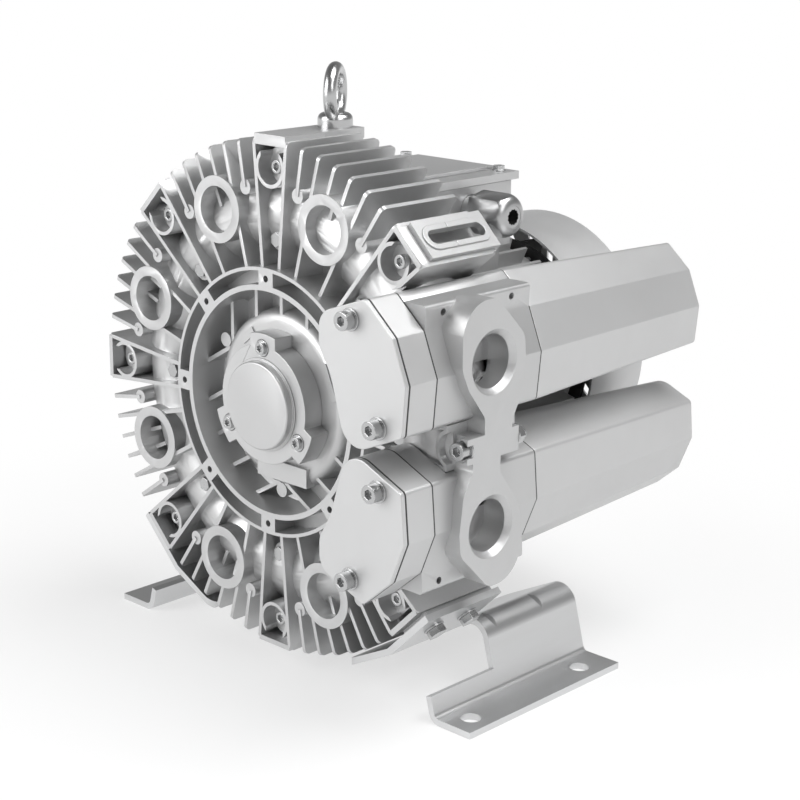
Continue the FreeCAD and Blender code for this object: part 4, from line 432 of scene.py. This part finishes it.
rounded = {
    "front_casing": 0.7, "rear_casing": 0.7, "bearing_cover": 1.2, "bearing_cap": 1.0,
    "motor_housing": 0.6, "rear_end_shield": 0.6, "terminal_box": 1.0, "terminal_box_lid": 1.2,
    "upper_silencer_cover": 0.9, "upper_silencer_front": 0.4, "upper_adapter": 0.9,
    "upper_silencer_tube": 0.9, "lower_silencer_cover": 0.9, "lower_silencer_front": 0.4,
    "lower_adapter": 0.9, "lower_silencer_tube": 0.9, "port_plate": 3.2, "fan_cowl": 0.8,
    "right_foot_bracket": 0.6, "left_foot_bracket": 0.6, "channel_plugs": 0.4,
    "motor_flange_screws": 0.4, "end_shield_screws": 0.3, "cowl_screws": 0.3, "lid_bolts": 0.4,
    "foot_bolts": 0.5, "washers": 0.3, "nuts": 0.4, "eyebolt": 0.8, "blanking_plug": 0.5,
}
tools = {**dents, "port_plate": shoulders}
for node, radius in rounded.items():
    sharp = DENT_SHARP if node in dents else SHARP
    piece = soften(node, radius * MM, sharp, tools=tools.get(node, ()))
    print(node, len(piece.data.polygons), "faces")

# %% [markdown]
# Places on the round casing are easiest as an angle and a radius about the shaft. This helper
# turns them into a matrix whose X axis points outwards and whose Y axis runs along the shaft,
# so a piece can be modelled flat at the origin and then laid on the casing.

# %% Laying a piece on the casing
def on_casing(degrees, radius, depth):
    """Matrix that carries X outwards at an angle about the shaft, Y along the shaft."""
    lean = Matrix.Rotation(-math.radians(degrees), 4, "Y")
    hub = Matrix.Translation((0, RING_FACE + depth, SHAFT_HEIGHT))
    return hub @ lean @ Matrix.Translation((radius, 0, 0))


def finish_piece(piece, name, node, material, radius):
    """Name a modelled piece, round its edges, give it its finish and its body."""
    piece.name = name
    piece.data.name = name
    round_edges(piece, radius)
    piece.data.materials.clear()
    piece.data.materials.append(material)
    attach(piece, body_holding(node))
    return piece


print("outwards at 45 degrees:", on_casing(45, 0.196, 0.04).translation)

# %% [markdown]
# The two upper rails carry a raised lip round their slot. A lip is a stadium: a short
# cylinder whose far half is moved along Y in edit mode, so that its round ends come apart. The
# hole through it is a second, narrower stadium, and the seam between the casings is a thin
# block. Both are taken out by a Boolean.

# %% Lips on the upper rails
SLOT_MIDDLE = 49.5 * MM
SLOT_RUN = 44 * MM
SLOT_HALF = 5.5 * MM
LIP_HALF = 10 * MM
LIP_HEIGHT = 1.6 * MM
LIP_SUNK = 0.2 * MM
RAIL_FACE = 196 * MM
SEAM = 44 * MM
SEAM_WIDTH = 0.3 * MM


def stadium(half, run, thickness):
    """A plate with round ends, flat across X, its long axis along Y."""
    select_none()
    bpy.ops.mesh.primitive_cylinder_add(
        vertices=48, radius=half, depth=thickness, rotation=(0, math.pi / 2, 0))
    plate = bpy.context.object
    bpy.ops.object.transform_apply(location=True, rotation=True, scale=True)
    for vertex in plate.data.vertices:
        vertex.co.y += run / 2 if vertex.co.y > 0 else -run / 2
    return plate


for name, degrees in (("right", 45), ("left", 135)):
    lip = stadium(LIP_HALF, SLOT_RUN, LIP_HEIGHT)
    take(lip, stadium(SLOT_HALF, SLOT_RUN, LIP_HEIGHT * 3))
    select_none()
    bpy.ops.mesh.primitive_cube_add(size=1)
    saw = bpy.context.object
    saw.data.transform(Matrix.Translation((0, SEAM - SLOT_MIDDLE, 0))
                       @ Matrix.Diagonal((LIP_HALF, SEAM_WIDTH, LIP_HALF * 4, 1)))
    take(lip, saw)
    lip.data.transform(on_casing(degrees, RAIL_FACE + LIP_HEIGHT / 2 - LIP_SUNK, SLOT_MIDDLE))
    finish_piece(lip, f"{name}_rail_lip", "front_casing", cast_skin, 0.5 * MM)
print("rail lips added")

# %% [markdown]
# Each screw of the bearing cover sits on a washer in a shallow round recess. One washer is
# modelled, a short cylinder along the shaft with its rim bevelled, and two copies with meshes
# of their own go to the other screws.

# %% Washers under the bearing cover screws
COVER_SCREWS = (90, 210, 330)
COVER_PITCH = 42.5 * MM
COVER_FACE = -4 * MM
WASHER_RADIUS = 6.2 * MM
WASHER_THICKNESS = 1.4 * MM
WASHER_SEAT = COVER_FACE + 0.4 * MM

select_none()
bpy.ops.mesh.primitive_cylinder_add(
    vertices=48, radius=WASHER_RADIUS, depth=WASHER_THICKNESS, rotation=(math.pi / 2, 0, 0))
pattern = bpy.context.object
bpy.ops.object.transform_apply(location=True, rotation=True, scale=True)
for count, degrees in enumerate(COVER_SCREWS, 1):
    washer = bpy.data.objects.new("washer", pattern.data.copy())
    bpy.context.scene.collection.objects.link(washer)
    washer.data.transform(on_casing(degrees, COVER_PITCH, WASHER_SEAT))
    finish_piece(washer, f"cover_washer_{count}", "bearing_cover", zinc, 0.3 * MM)
bpy.data.objects.remove(pattern)
print(len(COVER_SCREWS), "washers added")

# %% [markdown]
# Socket head screws are what the eye checks first, so they are modelled again with round
# heads. The head is a cylinder of many sides; every second side corner is drawn in a little in
# the mesh, which makes the knurl. A six-sided prism bores the socket, or a star for the cover
# screws, and the shank is joined on. Each kind is made once at the origin, its head towards
# the front, and copied to its places.

# %% Socket head screws
KNURL = 0.965
HEAD_SIDES = 64


def socket_screw(head, height, shank, length, socket, points=6, star=1.0, knurl=KNURL):
    """A screw along Y: the head ahead of the seat at y = 0, the shank behind it."""
    select_none()
    bpy.ops.mesh.primitive_cylinder_add(
        vertices=HEAD_SIDES, radius=head, depth=height, location=(0, -height / 2, 0),
        rotation=(math.pi / 2, 0, 0))
    screw = bpy.context.object
    bpy.ops.object.transform_apply(location=True, rotation=True, scale=True)
    for vertex in screw.data.vertices:
        side = round(math.atan2(vertex.co.z, vertex.co.x) / math.tau * HEAD_SIDES)
        if side % 2 and vertex.co.y > -height / 2:
            vertex.co.x *= knurl
            vertex.co.z *= knurl
    select_none()
    bpy.ops.mesh.primitive_cylinder_add(
        vertices=points, radius=socket, depth=height * 1.1, location=(0, -height, 0),
        rotation=(math.pi / 2, 0, 0))
    bore = bpy.context.object
    bpy.ops.object.transform_apply(location=True, rotation=True, scale=True)
    for number, vertex in enumerate(bore.data.vertices):
        if (number // 2) % 2:
            vertex.co.x *= star
            vertex.co.z *= star
    take(screw, bore)
    select_none()
    bpy.ops.mesh.primitive_cylinder_add(
        vertices=32, radius=shank, depth=length, location=(0, length / 2, 0),
        rotation=(math.pi / 2, 0, 0))
    stem = bpy.context.object
    bpy.ops.object.transform_apply(location=True, rotation=True, scale=True)
    stem.select_set(True)
    screw.select_set(True)
    bpy.context.view_layer.objects.active = screw
    bpy.ops.object.join()
    return screw


def set_screws(pattern, node, places, seat, radius=0.5 * MM):
    """Copies of a screw at (across, up) places about the shaft; together they replace a node."""
    for count, (across, up) in enumerate(places, 1):
        screw = bpy.data.objects.new("screw", pattern.data.copy())
        bpy.context.scene.collection.objects.link(screw)
        screw.data.transform(Matrix.Translation((across, RING_FACE + seat, SHAFT_HEIGHT + up)))
        finish_piece(screw, f"{node}_{count}", node, zinc, radius)
        if count == 1:
            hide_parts(node)
    bpy.data.objects.remove(pattern)
    print(node, len(places), "screws")


def rear_end(node):
    """How far a node reaches behind the ring face."""
    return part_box(node)[1][1] - RING_FACE


def around_shaft(radius, angles):
    return [(radius * math.cos(math.radians(angle)), radius * math.sin(math.radians(angle)))
            for angle in angles]


M8_HEAD, M8_HEIGHT, M8_SHANK, M8_SOCKET = 6.5 * MM, 8 * MM, 4 * MM, 3.5 * MM
M6_HEAD, M6_HEIGHT, M6_SHANK, M6_SOCKET = 5 * MM, 6 * MM, 3 * MM, 2.9 * MM
SILENCER_SEAT = -40.6 * MM
NECK_SEAT = 18.4 * MM
BOLT_SEAT = 17 * MM
COVER_SEAT = -3 * MM
COVER_HEAD, COVER_HEIGHT, STAR_POINTS, STAR = 4.7 * MM, 4 * MM, 12, 0.7
SILENCER_PLACES = [(across * MM, up * MM) for across, up in
                   ((126, 91.4), (126, -91.4), (152, 22), (152, -22))]

set_screws(socket_screw(M8_HEAD, M8_HEIGHT, M8_SHANK,
                        rear_end("silencer_screws") - SILENCER_SEAT, M8_SOCKET),
           "silencer_screws", SILENCER_PLACES, SILENCER_SEAT)
set_screws(socket_screw(M8_HEAD, M8_HEIGHT, M8_SHANK, rear_end("neck_screw") - NECK_SEAT,
                        M8_SOCKET), "neck_screw", [(177 * MM, 0)], NECK_SEAT)
set_screws(socket_screw(M6_HEAD, M6_HEIGHT, M6_SHANK, rear_end("casing_bolts") - BOLT_SEAT,
                        M6_SOCKET),
           "casing_bolts", around_shaft(172.5 * MM, range(45, 360, 45)), BOLT_SEAT)
set_screws(socket_screw(COVER_HEAD, COVER_HEIGHT, M6_SHANK,
                        rear_end("bearing_cover_screws") - COVER_SEAT, M6_SOCKET,
                        STAR_POINTS, STAR, knurl=1.0),
           "bearing_cover_screws", around_shaft(COVER_PITCH, COVER_SCREWS), COVER_SEAT, 0.9 * MM)

# %% [markdown]
# The cable gland is two hexagons in a row, the second one rounded into a dome. The dome comes
# from crossing a six-sided prism with a turned bar whose outer rim is rounded by a wide bevel:
# the bar meets the flats in six arcs, as a lathe leaves them. The first hexagon carries the
# thread that goes through the wall of the box. A toothed ring sits in the mouth, outside the
# rubber seal. The machine is shown without its cable.

# %% Cable gland
GLAND_CORNER = 17 * MM
TURNED_RADIUS = GLAND_CORNER * 0.985
BODY_CORNER = 15.5 * MM
GLAND_DOME = 8.6 * MM
GLAND_MOUTH = 8.5 * MM
BODY_LENGTH = 8 * MM
GLAND_THREAD = 12 * MM
BODY_STEP = 1.6 * MM
RING_DEPTH = 0.8 * MM
RING_BORE = 5.4 * MM
RING_SUNK = 0.2 * MM
TOOTH = 1.15
NUT_TURN = math.radians(12)
BODY_TURN = math.radians(32)

nut_low, nut_high = (Vector(corner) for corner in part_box("cable_gland_nut"))
gland_axis = (nut_low + nut_high) / 2


def bar(sides, radius, start, stop, spin=0.0):
    """A prism along X on the gland's axis."""
    select_none()
    bpy.ops.mesh.primitive_cylinder_add(vertices=sides, radius=radius, depth=stop - start)
    piece = bpy.context.object
    lay = Matrix.Rotation(spin, 4, "X") @ Matrix.Rotation(math.pi / 2, 4, "Y")
    shift = Matrix.Translation(((start + stop) / 2, gland_axis.y, gland_axis.z))
    piece.data.transform(shift @ lay)
    return piece


def cross(piece, tool):
    """Keep only what a piece shares with a tool."""
    select_only(piece)
    both = piece.modifiers.new("both", "BOOLEAN")
    both.operation = "INTERSECT"
    both.solver = "EXACT"
    both.object = tool
    bpy.ops.object.modifier_apply(modifier="both")
    bpy.data.objects.remove(tool)


def dome_bar(start, stop, radius, rounding):
    """A turned bar whose outer rim is rounded wide."""
    turned = bar(96, radius, start, stop)
    select_only(turned)
    bpy.ops.object.mode_set(mode="EDIT")
    bpy.ops.mesh.select_all(action="DESELECT")
    bpy.ops.object.mode_set(mode="OBJECT")
    for vertex in turned.data.vertices:
        vertex.select = vertex.co.x > stop - rounding / 2
    bpy.ops.object.mode_set(mode="EDIT")
    bpy.ops.mesh.select_mode(type="EDGE")
    bpy.ops.mesh.bevel(offset=rounding, segments=8)
    bpy.ops.object.mode_set(mode="OBJECT")
    return turned


gland_nut = bar(6, GLAND_CORNER, nut_low.x, nut_high.x, NUT_TURN)
cross(gland_nut, dome_bar(nut_low.x, nut_high.x, TURNED_RADIUS, GLAND_DOME))
take(gland_nut, bar(64, GLAND_MOUTH, nut_low.x - MM, nut_high.x + MM))
finish_piece(gland_nut, "gland_nut", "cable_gland_nut", nickel, 0.4 * MM)
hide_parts("cable_gland_nut")

body_low, body_high = (Vector(corner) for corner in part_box("cable_gland_body"))
gland_body = bar(6, BODY_CORNER, nut_low.x - BODY_LENGTH, nut_low.x - BODY_STEP, BODY_TURN)
thread = bar(64, GLAND_THREAD, body_low.x, body_high.x)
select_only(gland_body)
thread.select_set(True)
bpy.ops.object.join()
take(gland_body, bar(64, GLAND_MOUTH, body_low.x - MM, body_high.x + MM))
finish_piece(gland_body, "gland_body", "cable_gland_body", nickel, 0.5 * MM)
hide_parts("cable_gland_body")

ring_face = nut_high.x - RING_SUNK
clamp = bar(48, GLAND_MOUTH - 0.1 * MM, ring_face - RING_DEPTH, ring_face)
teeth = bar(24, RING_BORE, nut_high.x - 4 * RING_DEPTH, nut_high.x + RING_DEPTH)
for number, vertex in enumerate(teeth.data.vertices):
    if (number // 2) % 2:
        vertex.co.y = gland_axis.y + (vertex.co.y - gland_axis.y) * TOOTH
        vertex.co.z = gland_axis.z + (vertex.co.z - gland_axis.z) * TOOTH
take(clamp, teeth)
finish_piece(clamp, "gland_clamp_ring", "cable_gland_nut", nickel, 0.1 * MM)
print("gland axis", gland_axis)

# %% [markdown]
# The lid of the terminal box has a raised panel, set in from the rim. It is a cube scaled to
# size in its mesh, and it sinks a little into the lid so that no gap shows.

# %% Panel on the terminal box lid
lid_low, lid_high = (Vector(corner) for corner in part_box("terminal_box_lid"))
PANEL_INSET = 17 * MM
PANEL_HEIGHT = 1.2 * MM

select_none()
bpy.ops.mesh.primitive_cube_add(size=1)
panel = bpy.context.object
middle = (lid_low + lid_high) / 2
span = lid_high - lid_low - Vector((PANEL_INSET, PANEL_INSET, 0)) * 2
panel.data.transform(Matrix.Translation((middle.x, middle.y, lid_high.z))
                     @ Matrix.Diagonal((span.x, span.y, PANEL_HEIGHT * 2, 1)))
finish_piece(panel, "lid_panel", "terminal_box_lid", cast_skin, 0.6 * MM)
print("panel", [round(side / MM, 1) for side in span], "mm")

# %% [markdown]
# The studio has a wide pale floor. Close to the machine the floor is plain matt paper that
# holds its shadow. Further out, rays from the camera and from shiny surfaces see it as even
# white, so the picture has a white background without more light on the machine. The change
# from one to the other goes by distance from the machine, not by the camera.

# %% Floor
SHADOW_REACH = 0.3
WHITE_REACH = 0.62
NEAR_WHITE = 0.6

select_none()
bpy.ops.mesh.primitive_plane_add(size=30, location=(0, 0, 0))
floor = bpy.context.object
floor.name = "studio_floor"
paper = Finish("studio_paper")
paper.wear(Base_Color=(0.9, 0.9, 0.9, 1), Roughness=0.9)
reach = paper.node("ShaderNodeVectorMath", {"operation": "LENGTH"}, {0: paper.place}, out="Value")
away = paper.node("ShaderNodeMapRange", {"interpolation_type": "SMOOTHSTEP"},
                  {"Value": reach, "From Min": SHADOW_REACH, "From Max": WHITE_REACH,
                   "To Min": NEAR_WHITE})
ray = paper.tree.nodes.new("ShaderNodeLightPath").outputs
kinds = [Value(paper.tree, ray[f"Is {kind} Ray"]) for kind in ("Camera", "Glossy", "Transmission")]
seen = kinds[0] + kinds[1] + kinds[2]
white = paper.node("ShaderNodeEmission", inputs={"Color": (1, 1, 1, 1), "Strength": 1.0},
                   out="Emission")
lit = Value(paper.tree, paper.shader.outputs["BSDF"])
mixed = paper.node("ShaderNodeMixShader", inputs={0: away * seen, 1: lit, 2: white}, out="Shader")
paper.tree.links.new(mixed.socket, paper.tree.nodes["Material Output"].inputs["Surface"])
floor.data.materials.append(paper.material)
print("floor laid")

# %% [markdown]
# Silver castings show the room they stand in. A room that is white all round makes them flat,
# so the world goes from pale grey at eye level to a darker grey overhead, which leaves the
# rounded edges brighter than the faces beside them. The camera sees it as plain white, and so
# do shiny surfaces low down, as if a white backdrop stood there. Three soft lamps do the rest:
# a wide one at the front left lights the round face, one above lights the silencers, and one
# at the right lights the port plate and the upright of the foot.

# %% World and lamps
HORIZON = 0.4
OVERHEAD = 0.16
OVERHEAD_FROM = 0.8
BACKDROP = 0.15

world = bpy.data.worlds.new("studio")
bpy.context.scene.world = world
world.use_nodes = True
tree = world.node_tree
direction = Value(tree, tree.nodes.new("ShaderNodeTexCoord").outputs["Generated"])
split = tree.nodes.new("ShaderNodeSeparateXYZ")
tree.links.new(direction.socket, split.inputs[0])
height = Value(tree, split.outputs["Z"])


def by_height(top, at_eye, at_top):
    """A value that goes from one level at eye height to another at the top."""
    node = tree.nodes.new("ShaderNodeMapRange")
    tree.links.new(height.socket, node.inputs["Value"])
    node.inputs["From Max"].default_value = top
    node.inputs["To Min"].default_value = at_eye
    node.inputs["To Max"].default_value = at_top
    return Value(tree, node.outputs["Result"])


shade = by_height(OVERHEAD_FROM, HORIZON, OVERHEAD)
ray = tree.nodes.new("ShaderNodeLightPath").outputs
mirrored = Value(tree, ray["Is Glossy Ray"]) + Value(tree, ray["Is Transmission Ray"])
watched = Value(tree, ray["Is Camera Ray"]) + mirrored * by_height(BACKDROP, 1, 0)
strength = shade + watched * (1 - shade)
tree.links.new(strength.socket, tree.nodes["Background"].inputs["Strength"])
tree.nodes["Background"].inputs["Color"].default_value = (1, 1, 1, 1)


def lamp(name, place, target, size, energy):
    bpy.ops.object.light_add(type="AREA", location=place)
    light = bpy.context.object
    light.name = name
    light.data.size = size
    light.data.energy = energy
    light.rotation_euler = (Vector(place) - Vector(target)).to_track_quat("Z", "Y").to_euler()
    return light


lamp("front_lamp", (-1.2, -2.3, 1.3), (0, 0, 0.2), 2.0, 56)
lamp("top_lamp", (0.8, 0.4, 2.1), (0, 0, 0.2), 1.4, 40)
lamp("right_lamp", (2.3, -0.3, 1.6), (0, 0, 0.25), 1.2, 12)
bpy.context.scene.view_settings.view_transform = "Standard"
print("studio lit")
